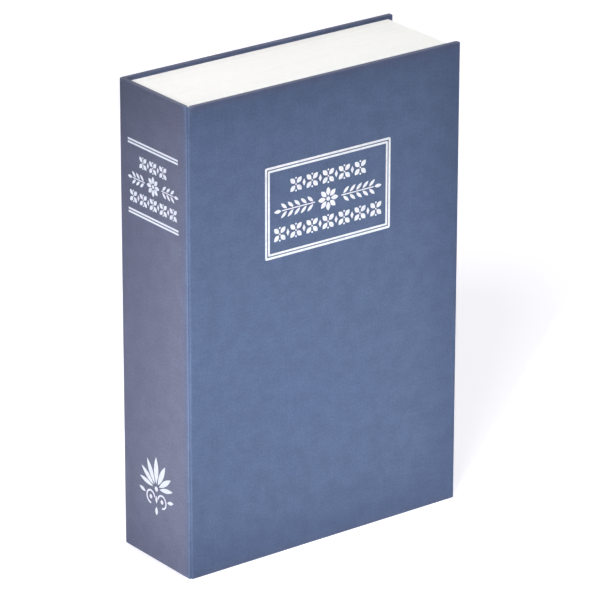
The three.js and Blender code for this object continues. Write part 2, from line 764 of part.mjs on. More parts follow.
/** Lock housing: round bezel, flatted barrel through the lid and a stepped bore for the plug. */
function lockHousing() {
  const bezelBack = LID_FRONT - STACK_GAP;
  const bezelFront = bezelBack - BEZEL;
  const bezel = turnedY([
    [0, bezelFront],
    ...roundEdge(BEZEL_RADIUS, bezelFront, BEZEL_ROUNDING),
    [BEZEL_RADIUS, bezelBack],
    [0, bezelBack],
  ], LARGE_ROUND);
  const barrel = barrelSection(0, bezelBack - BEZEL / 4, BARREL_BACK);
  const seat = bezelFront + PLUG_HEAD + PLUG_CLEARANCE;
  const bore = turnedY([
    [0, bezelFront - THROUGH],
    [PLUG_HEAD_RADIUS + PLUG_CLEARANCE, bezelFront - THROUGH],
    [PLUG_HEAD_RADIUS + PLUG_CLEARANCE, seat],
    [PLUG_RADIUS + PLUG_CLEARANCE, seat],
    [PLUG_RADIUS + PLUG_CLEARANCE, BARREL_BACK + THROUGH],
    [0, BARREL_BACK + THROUGH],
  ]);
  return atLock(bezel.add(barrel).subtract(bore));
}

/** Hexagonal nut that clamps the housing to the lid. */
function lockNut() {
  const front = LID_BACK + STACK_GAP;
  const hexagon = barY(NUT_FLATS / Math.sqrt(3), front, front + NUT, 6);
  const bore = barrelSection(THREAD_GAP, front - THROUGH, front + NUT + THROUGH);
  return atLock(hexagon.subtract(bore));
}

/** Turning plug: stepped head, keyway, square tail for the cam and a hole for its screw. */
function lockPlug() {
  const front = LID_FRONT - STACK_GAP - BEZEL;
  const tail = BARREL_BACK + STACK_GAP;
  const tailBack = tail + CAM;
  const body = turnedY([
    [0, front],
    [PLUG_HEAD_RADIUS, front],
    [PLUG_HEAD_RADIUS, front + PLUG_HEAD],
    [PLUG_RADIUS, front + PLUG_HEAD],
    [PLUG_RADIUS, tail],
    [0, tail],
  ]);
  const half = PLUG_SQUARE / 2;
  const square = block([-half, tail - THROUGH, -half], [half, tailBack, half]);
  const keyRect = {
    left: -KEYWAY_WIDTH / 2,
    right: KEYWAY_WIDTH / 2,
    low: -KEYWAY_LENGTH / 2,
    high: KEYWAY_LENGTH / 2,
  };
  const keyway = plate(keyRect, KEYWAY_CORNER, front - THROUGH, front + KEYWAY_DEPTH);
  const holeFront = tailBack - CAM_SCREW_LENGTH;
  const hole = barY(CAM_SCREW_RADIUS + THREAD_GAP, holeFront, tailBack + THROUGH, SMALL_ROUND);
  return atLock(body.add(square).subtract(keyway).subtract(hole));
}

/** Cranked cam: bent strip from the plug's tail forward to just behind the mouth flange. */
function lockCam() {
  const seat = BARREL_BACK + 2 * STACK_GAP;
  const tipFront = FLANGE_BACK + CAM_CLEARANCE;
  const profile = new THREE.Shape();
  profile.moveTo(-CAM_TAIL, seat);
  profile.lineTo(CAM_CRANK - CAM, seat);
  profile.quadraticCurveTo(CAM_CRANK, seat, CAM_CRANK, seat - CAM);
  profile.lineTo(CAM_CRANK, tipFront + CAM);
  profile.quadraticCurveTo(CAM_CRANK, tipFront, CAM_CRANK + CAM, tipFront);
  profile.lineTo(CAM_REACH, tipFront);
  profile.lineTo(CAM_REACH, tipFront + CAM);
  profile.lineTo(CAM_CRANK + CAM + CAM_BEND, tipFront + CAM);
  profile.quadraticCurveTo(CAM_CRANK + CAM, tipFront + CAM, CAM_CRANK + CAM, tipFront + CAM + CAM_BEND);
  profile.lineTo(CAM_CRANK + CAM, seat - CAM);
  profile.quadraticCurveTo(CAM_CRANK + CAM, seat + CAM, CAM_CRANK - CAM, seat + CAM);
  profile.lineTo(-CAM_TAIL, seat + CAM);
  profile.closePath();
  const strip = extrudeZ(profile, -CAM_WIDTH / 2, CAM_WIDTH / 2);
  strip.rotateY(-Math.PI / 2);
  const half = CAM_WIDTH / 2;
  const planRect = { left: -half, right: half, low: -CAM_TAIL, high: CAM_REACH };
  const plan = plate(planRect, CAM_CORNER, tipFront - THROUGH, seat + CAM + THROUGH);
  const side = PLUG_SQUARE / 2 + CAM_FIT;
  const hole = block([-side, seat - THROUGH, -side], [side, seat + CAM + THROUGH, side]);
  return atLock(solid(strip).intersect(plan).subtract(hole));
}

/** Front face of the washer behind the cam. */
function washerFront() {
  return BARREL_BACK + 3 * STACK_GAP + CAM;
}

function camWasher() {
  const front = washerFront();
  const disc = barY(WASHER_RADIUS, front, front + WASHER, SMALL_ROUND);
  const hole = barY(CAM_SCREW_RADIUS + THREAD_GAP, front - THROUGH, front + WASHER + THROUGH, SMALL_ROUND);
  return atLock(disc.subtract(hole));
}

/** Pan-head screw along Y, with its head's seat at y = 0 and its shank towards -Y. */
function panScrew(shankRadius, shankLength) {
  const crown = roundEdge(SCREW_HEAD_RADIUS, 0, SCREW_HEAD_ROUNDING);
  const body = turnedY([
    [0, -shankLength],
    [shankRadius - SCREW_TIP, -shankLength],
    [shankRadius, -shankLength + SCREW_TIP],
    [shankRadius, 0],
    [SCREW_HEAD_RADIUS, 0],
    ...crown.map(([radius, rise]) => [radius, SCREW_HEAD - rise]).reverse(),
    [0, SCREW_HEAD],
  ], SMALL_ROUND);
  const arm = SCREW_RECESS_REACH;
  const half = SCREW_RECESS_WIDTH / 2;
  const floor = SCREW_HEAD - SCREW_RECESS_DEPTH;
  const slotX = block([-arm, floor, -half], [arm, SCREW_HEAD + THROUGH, half]);
  const slotZ = block([-half, floor, -arm], [half, SCREW_HEAD + THROUGH, arm]);
  return body.subtract(slotX.add(slotZ));
}

function camScrew() {
  const seat = washerFront() + WASHER + STACK_GAP;
  const tailBack = BARREL_BACK + STACK_GAP + CAM;
  const length = seat - tailBack + CAM_SCREW_LENGTH - THREAD_GAP;
  return atLock(panScrew(CAM_SCREW_RADIUS, length).translate([0, seat, 0]));
}

/** One frame screw, from inside the box through its head or tail wall into a boss. */
function frameScrew(x, wall, turn) {
  const screw = panScrew(FRAME_SCREW_RADIUS, FRAME_SCREW_LENGTH);
  const inward = turn > 0 ? wall + SHEET + STACK_GAP : wall - SHEET - STACK_GAP;
  return screw.rotate([90 * turn, 0, 0]).translate([x, screwDepth(), inward]);
}

/** A finish for one piece. */
function finish(color, roughness, metalness) {
  return new THREE.MeshStandardMaterial({ color, roughness, metalness });
}

const FINISHES = {
  cloth: () => finish(0x60708f, 0.8, 0),
  board: () => finish(0x8a8478, 0.9, 0),
  paper: () => finish(0xeeeeea, 0.85, 0),
  pages: () => finish(0xfafaf8, 0.7, 0),
  steel: () => finish(0x1d1e20, 0.5, 0.3),
  zinc: () => finish(0xb4b7ba, 0.4, 0.9),
  chrome: () => finish(0xd4d6d8, 0.15, 1),
};

const safe = new THREE.Group();

/** Adds one named piece to the safe. */
function addPiece(name, body, look) {
  const mesh = new THREE.Mesh(surface(body), FINISHES[look]());
  mesh.name = name;
  safe.add(mesh);
}

addPiece('case_cloth', caseCloth(), 'cloth');
addPiece('spine_board', spineBoard(), 'board');
addPiece('back_board', backBoard(), 'board');
addPiece('spine_lining', spineLining(), 'paper');
addPiece('back_lining', backLining(), 'paper');
addPiece('hinge_cloth', hingeCloth(), 'cloth');
addPiece('front_cloth', frontCloth(), 'cloth');
addPiece('front_board', frontBoard(), 'board');
addPiece('front_lining', frontLining(), 'paper');
addPiece('page_face', pageFace(), 'pages');

const shell = pageShell();
addPiece('page_head', shell.intersect(sideWedge('head')), 'pages');
addPiece('page_tail', shell.intersect(sideWedge('tail')), 'pages');
addPiece('page_fore_edge', shell.intersect(sideWedge('fore')), 'pages');
addPiece('page_spine_edge', shell.intersect(sideWedge('spine')), 'pages');

addPiece('box_body', boxBody(), 'steel');
addPiece('box_leaf', boxLeaf(), 'zinc');
addPiece('hinge_pin', hingePin(), 'zinc');
addPiece('lid_panel', lidPanel(), 'steel');
addPiece('lid_leaf', lidLeaf(), 'zinc');
addPiece('lock_housing', lockHousing(), 'chrome');
addPiece('lock_nut', lockNut(), 'zinc');
addPiece('lock_plug', lockPlug(), 'chrome');
addPiece('lock_cam', lockCam(), 'zinc');
addPiece('cam_washer', camWasher(), 'zinc');
addPiece('cam_screw', camScrew(), 'zinc');

let screwNumber = 0;
for (const x of screwPlaces()) {
  for (const [wall, turn] of [[BOX_RECT.low, 1], [BOX_RECT.high, -1]]) {
    screwNumber += 1;
    addPiece(`frame_screw_${screwNumber}`, frameScrew(x, wall, turn), 'zinc');
  }
}

export default safe;
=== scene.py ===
"""Looks of a book diversion safe: cloth case, foil ornament, page block, steel box and cam lock.

Lengths are metres in the book's own frame: +Z up from tail to head, the spine at -X, the front cover at -Y.
"""
import logging
import math
from collections.abc import Iterable
from dataclasses import dataclass, field
from enum import Enum
from functools import cache

import bmesh
import bpy
from mathutils import Matrix, Vector


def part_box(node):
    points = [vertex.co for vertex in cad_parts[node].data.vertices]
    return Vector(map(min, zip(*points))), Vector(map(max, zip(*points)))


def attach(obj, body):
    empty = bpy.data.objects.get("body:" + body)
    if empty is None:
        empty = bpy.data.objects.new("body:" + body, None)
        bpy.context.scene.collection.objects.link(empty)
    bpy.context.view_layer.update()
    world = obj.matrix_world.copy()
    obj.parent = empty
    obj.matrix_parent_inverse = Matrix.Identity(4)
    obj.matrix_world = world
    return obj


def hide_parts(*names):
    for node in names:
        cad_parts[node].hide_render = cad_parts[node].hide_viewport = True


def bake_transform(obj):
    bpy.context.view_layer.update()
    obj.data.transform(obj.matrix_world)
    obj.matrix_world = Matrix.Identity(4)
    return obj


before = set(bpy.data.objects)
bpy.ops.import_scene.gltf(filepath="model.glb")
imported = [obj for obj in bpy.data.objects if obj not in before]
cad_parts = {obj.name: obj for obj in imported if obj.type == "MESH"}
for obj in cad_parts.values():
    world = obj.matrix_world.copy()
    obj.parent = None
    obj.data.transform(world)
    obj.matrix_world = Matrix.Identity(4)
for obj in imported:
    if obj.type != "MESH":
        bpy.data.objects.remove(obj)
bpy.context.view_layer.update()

LOG = logging.getLogger("book_safe")

MM = 0.001
TINY = 1e-6
ON_PLANE = 1e-7
NEAR_CUTS = (0.9 * MM, 1.8 * MM, 3.4 * MM, 6.0 * MM)
DOT_SIDES, LEAF_SIDES, ARC_STEP = 14, 16, 12
PETAL_ANGLES = (45.0, 135.0, 225.0, 315.0)

BMesh, BMVert, BMFace = bmesh.types.BMesh, bmesh.types.BMVert, bmesh.types.BMFace
Material, Node, Piece = bpy.types.Material, bpy.types.Node, bpy.types.Object
Socket, Tree = bpy.types.NodeSocket, bpy.types.NodeTree
Colour = tuple[float, float, float, float]
Value = float | Colour | tuple[float, float, float] | Socket
Inputs = dict[str | int, Value]
# A range of an effect's value, and what the ends of that range become.
Ramp = tuple[float, float, float, float]
# How strong a change of the cloth is, and how far it reaches.
Wear = tuple[float, float]


def screen_colour(red: int, green: int, blue: int) -> Colour:
    """Turns an 8-bit screen colour into a linear one.

    Args:
        red, green, blue: parts of the colour, 0 to 255.

    Returns:
        The linear colour with full alpha.
    """
    parts = (part / 255 for part in (red, green, blue))
    linear = [part / 12.92 if part <= 0.04045 else ((part + 0.055) / 1.055) ** 2.4 for part in parts]
    return (linear[0], linear[1], linear[2], 1.0)


class Sheet:
    """A node tree with short calls that add, set and link its nodes."""

    def __init__(self, tree: Tree) -> None:
        """Keeps the tree that the nodes go into."""
        self.tree = tree

    def fill(self, node: Node, inputs: Inputs) -> None:
        """Links or sets inputs of a node.

        Args:
            node: the node.
            inputs: outputs to link, or plain values, by the input's name or number.
        """
        for name, value in inputs.items():
            if isinstance(value, Socket):
                self.tree.links.new(value, node.inputs[name])
            else:
                node.inputs[name].default_value = value

    def add(self, kind: str, inputs: Inputs | None = None, **settings: object) -> Node:
        """Adds a node.

        Args:
            kind: type name of the node.
            inputs: values or outputs for its inputs.
            settings: its own properties.

        Returns:
            The new node.
        """
        node = self.tree.nodes.new(kind)
        for name, value in settings.items():
            setattr(node, name, value)
        self.fill(node, inputs or {})
        return node

    def read(self, kind: str, inputs: Inputs, output: str | int = 0, **settings: object) -> Socket:
        """Adds a node and returns one of its outputs."""
        return self.add(kind, inputs, **settings).outputs[output]

    def math(self, operation: str, first: Value, second: Value = 0.0, clamp: bool = False) -> Socket:
        """Adds a Math node and returns its output."""
        return self.read("ShaderNodeMath", {0: first, 1: second}, operation=operation, use_clamp=clamp)

    def total(self, parts: list[Socket]) -> Socket:
        """Adds up values, to no more than 1.

        Args:
            parts: the values.

        Returns:
            Their sum, or the value where there is only one.
        """
        whole = parts[0]
        for part in parts[1:]:
            whole = self.math("ADD", whole, part, clamp=part is parts[-1])
        return whole

    def vector(self, operation: str, first: Value, second: Value) -> Socket:
        """Adds a Vector Math node and returns its output."""
        return self.read("ShaderNodeVectorMath", {0: first, 1: second}, operation=operation)

    def noise(self, vector: Value, scale: float, detail: float = 2.0, roughness: float = 0.5) -> Socket:
        """Adds a Noise Texture and returns its value, about 0.5 in the mean."""
        inputs = {"Vector": vector, "Scale": scale, "Detail": detail, "Roughness": roughness}
        return self.read("ShaderNodeTexNoise", inputs, "Fac")

    def ease(self, value: Value, low: float, high: float, start: float = 0.0, end: float = 1.0) -> Socket:
        """Maps a value smoothly from one range to another and returns it."""
        inputs = {"Value": value, "From Min": low, "From Max": high, "To Min": start, "To Max": end}
        return self.read("ShaderNodeMapRange", inputs, interpolation_type="SMOOTHSTEP")

    def blend(self, factor: Value, first: Value, second: Value, kind: str = "MIX") -> Socket:
        """Mixes two colours and returns the result."""
        inputs = {0: factor, 6: first, 7: second}
        return self.read("ShaderNodeMix", inputs, 2, data_type="RGBA", blend_type=kind)

    def bump(self, height: Value, distance: float, strength: float) -> Socket:
        """Adds a Bump node and returns its normal."""
        inputs = {"Strength": strength, "Distance": distance, "Height": height}
        return self.read("ShaderNodeBump", inputs, "Normal")

    def group(self, tree: Tree, vector: Socket, **inputs: Value) -> bpy.types.NodeOutputs:
        """Places a node group at a vector, fills its other inputs and returns its outputs."""
        return self.add("ShaderNodeGroup", {"Vector": vector, **inputs}, node_tree=tree).outputs


@dataclass(frozen=True)
class EffectGroups:
    """Shader groups that more than one finish uses, each built once, when first asked for."""

    wander: float = 220.0
    over: float = 0.65
    under: float = 0.35
    thread_stretch: float = 0.04
    thread_scale: float = 0.73
    fine_scale: float = 9.0
    speck_scale: float = 2.3
    speck_range: tuple[float, float] = (0.62, 0.72)
    rub_size: float = 2.2 * MM
    rub_range: tuple[float, float] = (0.25, 1.05)

    def _start(self, name: str, outputs: Iterable[str], **inputs: float) -> tuple[Sheet, Node, Node]:
        """Opens a new group.

        Args:
            name: name of the group.
            outputs: names of its outputs, all plain values.
            inputs: its inputs besides Vector, and their first values.

        Returns:
            The group's sheet, its input node and its output node.
        """
        tree = bpy.data.node_groups.new(name, "ShaderNodeTree")
        tree.interface.new_socket(name="Vector", in_out="INPUT", socket_type="NodeSocketVector")
        for label, value in inputs.items():
            socket = tree.interface.new_socket(name=label, in_out="INPUT", socket_type="NodeSocketFloat")
            socket.default_value = value
        for label in outputs:
            tree.interface.new_socket(name=label, in_out="OUTPUT", socket_type="NodeSocketFloat")
        sheet = Sheet(tree)
        return sheet, sheet.add("NodeGroupInput"), sheet.add("NodeGroupOutput")

    def _steps(self, sheet: Sheet, start: Node, size: str = "Size") -> Socket:
        """Divides the group's vector by one of its inputs and returns the result."""
        inverse = sheet.math("DIVIDE", 1.0, start.outputs[size])
        return sheet.vector("MULTIPLY", start.outputs["Vector"], inverse)

    @cache
    def weave(self) -> Tree:
        """Plain weave of two thread sets with slubs.

        Returns:
            A group from Vector, Pitch and Slub to Height and Thread, which differs from thread to thread.
        """
        sheet, start, end = self._start("weave", ("Height", "Thread"), Pitch=0.4 * MM, Slub=0.3)
        inputs = {"Vector": start.outputs["Vector"], "Scale": self.wander, "Detail": 2.0}
        centred = sheet.vector("SUBTRACT", sheet.read("ShaderNodeTexNoise", inputs, "Color"), (0.5, 0.5, 0.5))
        drift = sheet.vector("MULTIPLY", centred, start.outputs["Slub"])
        moved = sheet.vector("ADD", self._steps(sheet, start, "Pitch"), drift)
        place = sheet.add("ShaderNodeSeparateXYZ", {0: moved}).outputs
        heights, threads = [], []
        for here, other, phase in (("X", "Y", 0.0), ("Y", "X", 0.5)):
            ridge = sheet.math("ABSOLUTE", sheet.math("SINE", sheet.math("MULTIPLY", place[here], math.pi)))
            row = sheet.math("FLOOR", place[here])
            along = sheet.math("ADD", sheet.math("ADD", place[other], row), phase)
            wave = sheet.math("COSINE", sheet.math("MULTIPLY", along, math.pi))
            inputs = {0: wave, 1: self.under, 2: self.over}
            lift = sheet.read("ShaderNodeMath", inputs, operation="MULTIPLY_ADD")
            heights.append(sheet.math("MULTIPLY", ridge, lift))
            length = sheet.math("MULTIPLY", place[other], self.thread_stretch)
            stretch = sheet.read("ShaderNodeCombineXYZ", {here: row, other: length})
            threads.append(sheet.noise(stretch, self.thread_scale, 1.0))
        thread = sheet.math("MULTIPLY", sheet.math("ADD", *threads), 0.5)
        sheet.fill(end, {"Height": sheet.math("MAXIMUM", *heights), "Thread": thread})
        return sheet.tree

    @cache
    def mottle(self) -> Tree:
        """Uneven tone of a dyed, painted or moulded surface.

        Returns:
            A group from Vector and Size to Broad and Fine, both about 0.5 in the mean.
        """
        sheet, start, end = self._start("mottle", ("Broad", "Fine"), Size=20 * MM)
        steps = self._steps(sheet, start)
        fine = sheet.noise(steps, self.fine_scale, 3.0, 0.6)
        sheet.fill(end, {"Broad": sheet.noise(steps, 1.0, 3.0, 0.55), "Fine": fine})
        return sheet.tree

    @cache
    def grain(self) -> Tree:
        """Fine grain of paint, plastic, paper or plating.

        Returns:
            A group from Vector and Size to Height and Speck.
        """
        sheet, start, end = self._start("grain", ("Height", "Speck"), Size=0.6 * MM)
        steps = self._steps(sheet, start)
        speck = sheet.ease(sheet.noise(steps, self.speck_scale, 1.0), *self.speck_range)
        sheet.fill(end, {"Height": sheet.noise(steps, 1.0, 2.0, 0.45), "Speck": speck})
        return sheet.tree

    @cache
    def rub(self) -> Tree:
        """Wear that starts at edges and breaks up over the surface.

        Returns:
            A group from Vector, Edge (1 on an edge, 0 away from it) and Amount to Mask.
        """
        sheet, start, end = self._start("rub", ("Mask",), Edge=0.0, Amount=0.5)
        broken = sheet.noise(start.outputs["Vector"], 1 / self.rub_size, 4.0, 0.65)
        raised = sheet.math("ADD", start.outputs["Edge"], sheet.math("SUBTRACT", broken, 0.5))
        worn = sheet.ease(raised, *self.rub_range)
        sheet.fill(end, {"Mask": sheet.math("MULTIPLY", worn, start.outputs["Amount"], clamp=True)})
        return sheet.tree


EFFECTS = EffectGroups()


class Source(Enum):
    """Where a finish reads its pattern."""

    OBJECT = "Object"
    UV = "UV"


class Tone(Enum):
    """Outputs of the mottle group."""

    BROAD = "Broad"
    FINE = "Fine"


class Lay(Enum):
    """Direction in which a plated surface was brushed or turned, as the stretch of its grain."""

    ALONG_Z = (1.0, 1.0, 0.03)
    ALL_ROUND = (1.0, 1.0, 1.0)


def open_material(name: str, source: Source) -> tuple[Material, Sheet, Socket, Node]:
    """Starts a material with a Principled shader.

    Args:
        name: name of the finish.
        source: coordinates that its pattern reads.

    Returns:
        The material, its sheet, the coordinates and the shader.
    """
    made = bpy.data.materials.new(name)
    made.use_nodes = True
    made.node_tree.nodes.clear()
    sheet = Sheet(made.node_tree)
    place = sheet.add("ShaderNodeTexCoord").outputs[source.value]
    shader = sheet.add("ShaderNodeBsdfPrincipled")
    sheet.add("ShaderNodeOutputMaterial", {"Surface": shader.outputs[0]})
    return made, sheet, place, shader


@dataclass(frozen=True)
class BookCloth:
    """Blue book cloth: starched plain weave, unevenly dyed, faded on the spine and rubbed at its edges, with
    painted light on the spine and painted shade at the tail, the head and the fore-edge.
    """

    dye: Colour = screen_colour(91, 110, 146)
    shade: Colour = (0.62, 0.62, 0.66, 1.0)
    # The next two colours are the dark and light ends of the faded cloth; on the spine they carry painted
    # shade toward the head and the back, and painted light toward the tail and the crease.
    faded_dark_and_painted_shade: Colour = screen_colour(83, 89, 116)
    faded: Colour = screen_colour(118, 121, 147)
    rubbed: Colour = screen_colour(138, 152, 181)
    # Painted shade: this tint darkens the cloth toward the tail, the head and the fore-edge.
    painted_shade_tint: Colour = (0.76, 0.78, 0.82, 1.0)
    pitch: float = 0.42 * MM
    slub: float = 0.9
    mottle: float = 9 * MM
    rub: float = 0.35
    broad: Ramp = (0.3, 0.7, 0.24, 0.0)
    speckle: Ramp = (0.35, 0.65, 0.42, 0.0)
    threads: Ramp = (0.35, 0.65, 0.16, 0.0)
    valleys: Ramp = (0.2, 0.9, 0.3, 0.0)
    rough: Ramp = (0.0, 1.0, 0.9, 0.7)
    mottle_relief: float = 0.5
    relief: tuple[float, float] = (0.05 * MM, 0.6)

    def material(self) -> Material:
        """Builds the finish.

        Returns:
            The material, which reads the cloth's own map and its fade, faded tone with painted light, edge
            and painted shade attributes.
        """
        made, sheet, place, shader = open_material("book_cloth", Source.UV)
        fade, fade_tone_and_painted_light, edge, painted_shade = (sheet.add("ShaderNodeAttribute", attribute_name=name).outputs["Fac"]
                                 for name in ("fade", "fade_tone_and_painted_light", "edge", "painted_shade"))
        weave = sheet.group(EFFECTS.weave(), place, Pitch=self.pitch, Slub=self.slub)
        tone = sheet.group(EFFECTS.mottle(), place, Size=self.mottle)
        # The rub mask lightens worn edges and corners, and draws lighter lines along the lips of the crease.
        worn = sheet.group(EFFECTS.rub(), place, Edge=edge, Amount=self.rub)["Mask"]
        # On the spine the faded tone carries painted light and painted shade.
        dyed = sheet.blend(fade, self.dye, sheet.blend(fade_tone_and_painted_light, self.faded_dark_and_painted_shade, self.faded))
        broad = sheet.ease(tone["Broad"], *self.broad)
        uneven = sheet.math("ADD", broad, sheet.ease(tone["Fine"], *self.speckle))
        threads = sheet.ease(weave["Thread"], *self.threads)
        woven = sheet.math("ADD", threads, sheet.ease(weave["Height"], *self.valleys))
        dark = sheet.total([uneven, woven])
        colour = sheet.blend(worn, sheet.blend(dark, dyed, self.shade, "MULTIPLY"), self.rubbed)
        swell = sheet.math("MULTIPLY", tone["Fine"], self.mottle_relief)
        # The base colour ends in painted shade toward the tail, the head and the fore-edge.
        sheet.fill(shader, {
            "Base Color": sheet.blend(painted_shade, colour, self.painted_shade_tint, "MULTIPLY"),
            "Roughness": sheet.ease(weave["Height"], *self.rough),
            "Specular IOR Level": 0.35,
            "Sheen Weight": 0.12,
            "Sheen Roughness": 0.5,
            "Normal": sheet.bump(sheet.math("ADD", weave["Height"], swell), *self.relief),
        })
        return made


@dataclass(frozen=True)
class PageStock:
    """White moulded page block whose edges look like stacked leaves."""

    paper: Colour = screen_colour(253, 253, 251)
    gap: Colour = screen_colour(240, 239, 234)
    leaf: float = 0.24 * MM
    leaves_in_signature: int = 12
    wander: float = 40 * MM
    sway: float = 1.6 * MM
    stretch: float = 0.012
    mottle: float = 30 * MM
    lines: Ramp = (0.34, 0.6, 0.35, 0.0)
    signatures: Ramp = (0.3, 0.6, 0.12, 0.0)
    clouds: Ramp = (0.3, 0.7, 0.06, 0.0)
    rough: Ramp = (0.3, 0.7, 0.75, 0.6)
    relief: tuple[float, float] = (0.05 * MM, 0.5)

    def material(self) -> Material:
        """Builds the finish: thin lines that lie parallel to the covers.

        Returns:
            The material.
        """
        made, sheet, place, shader = open_material("page_stock", Source.OBJECT)
        split = sheet.add("ShaderNodeSeparateXYZ", {0: place})
        sway = sheet.math("MULTIPLY", sheet.noise(place, 1 / self.wander), self.sway)
        stacked = sheet.read("ShaderNodeCombineXYZ", {
            "X": sheet.math("MULTIPLY", split.outputs["X"], self.stretch),
            "Y": sheet.math("ADD", split.outputs["Y"], sway),
            "Z": sheet.math("MULTIPLY", split.outputs["Z"], self.stretch),
        })
        leaves = sheet.noise(stacked, 1 / self.leaf, 2.0, 0.6)
        signatures = sheet.noise(stacked, 1 / (self.leaves_in_signature * self.leaf), 1.0)
        tone = sheet.group(EFFECTS.mottle(), place, Size=self.mottle)["Broad"]
        shade = sheet.total([
            sheet.ease(leaves, *self.lines),
            sheet.ease(signatures, *self.signatures),
            sheet.ease(tone, *self.clouds),
        ])
        sheet.fill(shader, {
            "Base Color": sheet.blend(shade, self.paper, self.gap),
            "Roughness": sheet.ease(leaves, *self.rough),
            "Specular IOR Level": 0.4,
            "Normal": sheet.bump(leaves, *self.relief),
        })
        return made


class MottledFinish:
    """A finish of two colours: its mottle, fibres, wear and specks bring in the second one."""

    name: str
    colours: tuple[Colour, Colour]
    mottle: float
    grain: float
    rough: tuple[Tone, Ramp]
    relief: tuple[float, float]
    shade: tuple[Tone, Ramp] | None = None
    fibres: Ramp | None = None
    fibre: float = 0.7 * MM
    fibre_stretch: tuple[float, float, float] = (1.0, 1.0, 0.12)
    rub: tuple[float, float] | None = None
    specks: float = 0.0
    lay: Lay | None = None
    uniform: dict[str, float] = {}

    def material(self) -> Material:
        """Builds the finish.

        Returns:
            The material.
        """
        made, sheet, place, shader = open_material(self.name, Source.OBJECT)
        tone = sheet.group(EFFECTS.mottle(), place, Size=self.mottle)
        laid = sheet.vector("MULTIPLY", place, self.lay.value) if self.lay else place
        grain = sheet.group(EFFECTS.grain(), laid, Size=self.grain)
        parts = []
        if self.fibres:
            fibre = sheet.noise(sheet.vector("MULTIPLY", place, self.fibre_stretch), 1 / self.fibre)
            parts.append(sheet.ease(fibre, *self.fibres))
        if self.shade:
            parts.append(sheet.ease(tone[self.shade[0].value], *self.shade[1]))
        if self.rub:
            parts.append(sheet.group(EFFECTS.rub(), place, Edge=self.rub[0], Amount=self.rub[1])["Mask"])
        if self.specks:
            parts.append(sheet.math("MULTIPLY", grain["Speck"], self.specks))
        sheet.fill(shader, {
            "Base Color": sheet.blend(sheet.total(parts), *self.colours),
            "Roughness": sheet.ease(tone[self.rough[0].value], *self.rough[1]),
            "Normal": sheet.bump(grain["Height"], *self.relief),
            **self.uniform,
        })
        return made


class FoilPrint(MottledFinish):
    """White stamping foil that follows the threads under it."""

    name = "white_foil"
    colours = screen_colour(253, 253, 254), screen_colour(205, 210, 222)
    mottle = 4 * MM
    grain = 0.4 * MM
    rough = Tone.BROAD, (0.3, 0.7, 0.4, 0.55)
    relief = 0.03 * MM, 0.5
    rub = 0.5, 0.9
    uniform = {"IOR": 1.8}


class DulledFoil(FoilPrint):
    """The same foil where it has dulled."""

    name = "dulled_foil"
    colours = screen_colour(227, 232, 241), screen_colour(201, 206, 219)


class LiningPaper(MottledFinish):
    """Off-white lining paper with fibres."""

    name = "lining_paper"
    colours = screen_colour(238, 237, 231), screen_colour(214, 211, 202)
    mottle = 14 * MM
    grain = 0.35 * MM
    rough = Tone.FINE, (0.3, 0.7, 0.75, 0.9)
    relief = 0.03 * MM, 0.5
    shade = Tone.BROAD, (0.3, 0.7, 0.12, 0.0)
    fibres = 0.4, 0.7, 0.0, 0.3
    specks = 0.2
    uniform = {"Specular IOR Level": 0.3}


class Greyboard(MottledFinish):
    """Pressed grey board with flecks."""

    name = "greyboard"
    colours = screen_colour(139, 134, 122), screen_colour(96, 92, 84)
    mottle = 10 * MM
    grain = 0.8 * MM
    rough = Tone.BROAD, (0.3, 0.7, 0.85, 0.95)
    relief = 0.06 * MM, 0.6
    shade = Tone.FINE, (0.3, 0.7, 0.4, 0.0)
    specks = 0.6


class PowderCoat(MottledFinish):
    """Satin black powder coat with a fine orange-peel surface."""

    name = "powder_coat"
    colours = screen_colour(30, 31, 33), screen_colour(52, 53, 56)
    mottle = 25 * MM
    grain = 0.7 * MM
    rough = Tone.FINE, (0.3, 0.7, 0.4, 0.52)
    relief = 0.06 * MM, 0.7
    shade = Tone.BROAD, (0.3, 0.7, 0.0, 0.3)
    rub = 0.3, 0.9
    specks = 0.35


class ZincPlate(MottledFinish):
    """Bright zinc plate over steel."""

    name = "zinc_plate_all_round"
    lay = Lay.ALL_ROUND
    colours = screen_colour(196, 200, 205), screen_colour(152, 155, 158)
    mottle = 6 * MM
    grain = 0.2 * MM
    rough = Tone.BROAD, (0.3, 0.7, 0.28, 0.42)
    relief = 0.02 * MM, 0.5
    shade = Tone.FINE, (0.3, 0.7, 0.6, 0.0)
    uniform = {"Metallic": 1.0}


class BrushedZinc(ZincPlate):
    """The same plate, brushed along the hinge."""

    name = "zinc_plate_along_z"
    lay = Lay.ALONG_Z


class LockChrome(MottledFinish):
    """Polished chrome of the lock face, with fine handling marks."""

    name = "lock_chrome"
    colours = screen_colour(222, 224, 227), screen_colour(205, 208, 212)
    mottle = 5 * MM
    grain = 0.5 * MM
    rough = Tone.BROAD, (0.3, 0.7, 0.07, 0.15)
    relief = 0.01 * MM, 0.1
    shade = Tone.FINE, (0.4, 0.8, 0.0, 1.0)
    uniform = {"Metallic": 1.0}


def finish_object(name: str, mesh: BMesh, material: Material, smooth: float = 35.0) -> Piece:
    """Turns a finished bmesh into an object of the scene.

    Args:
        name: name of the piece.
        mesh: its shape in the book's frame; freed here.
        material: its finish.
        smooth: edges sharper than this many degrees stay sharp.

    Returns:
        The new object, at the origin.
    """
    data = bpy.data.meshes.new(name)
    mesh.to_mesh(data)
    mesh.free()
    data.materials.append(material)
    data.shade_smooth()
    data.set_sharp_from_angle(angle=math.radians(smooth))
    made = bpy.data.objects.new(name, data)
    bpy.context.scene.collection.objects.link(made)
    LOG.info("%s: %d faces", name, len(data.polygons))
    return made


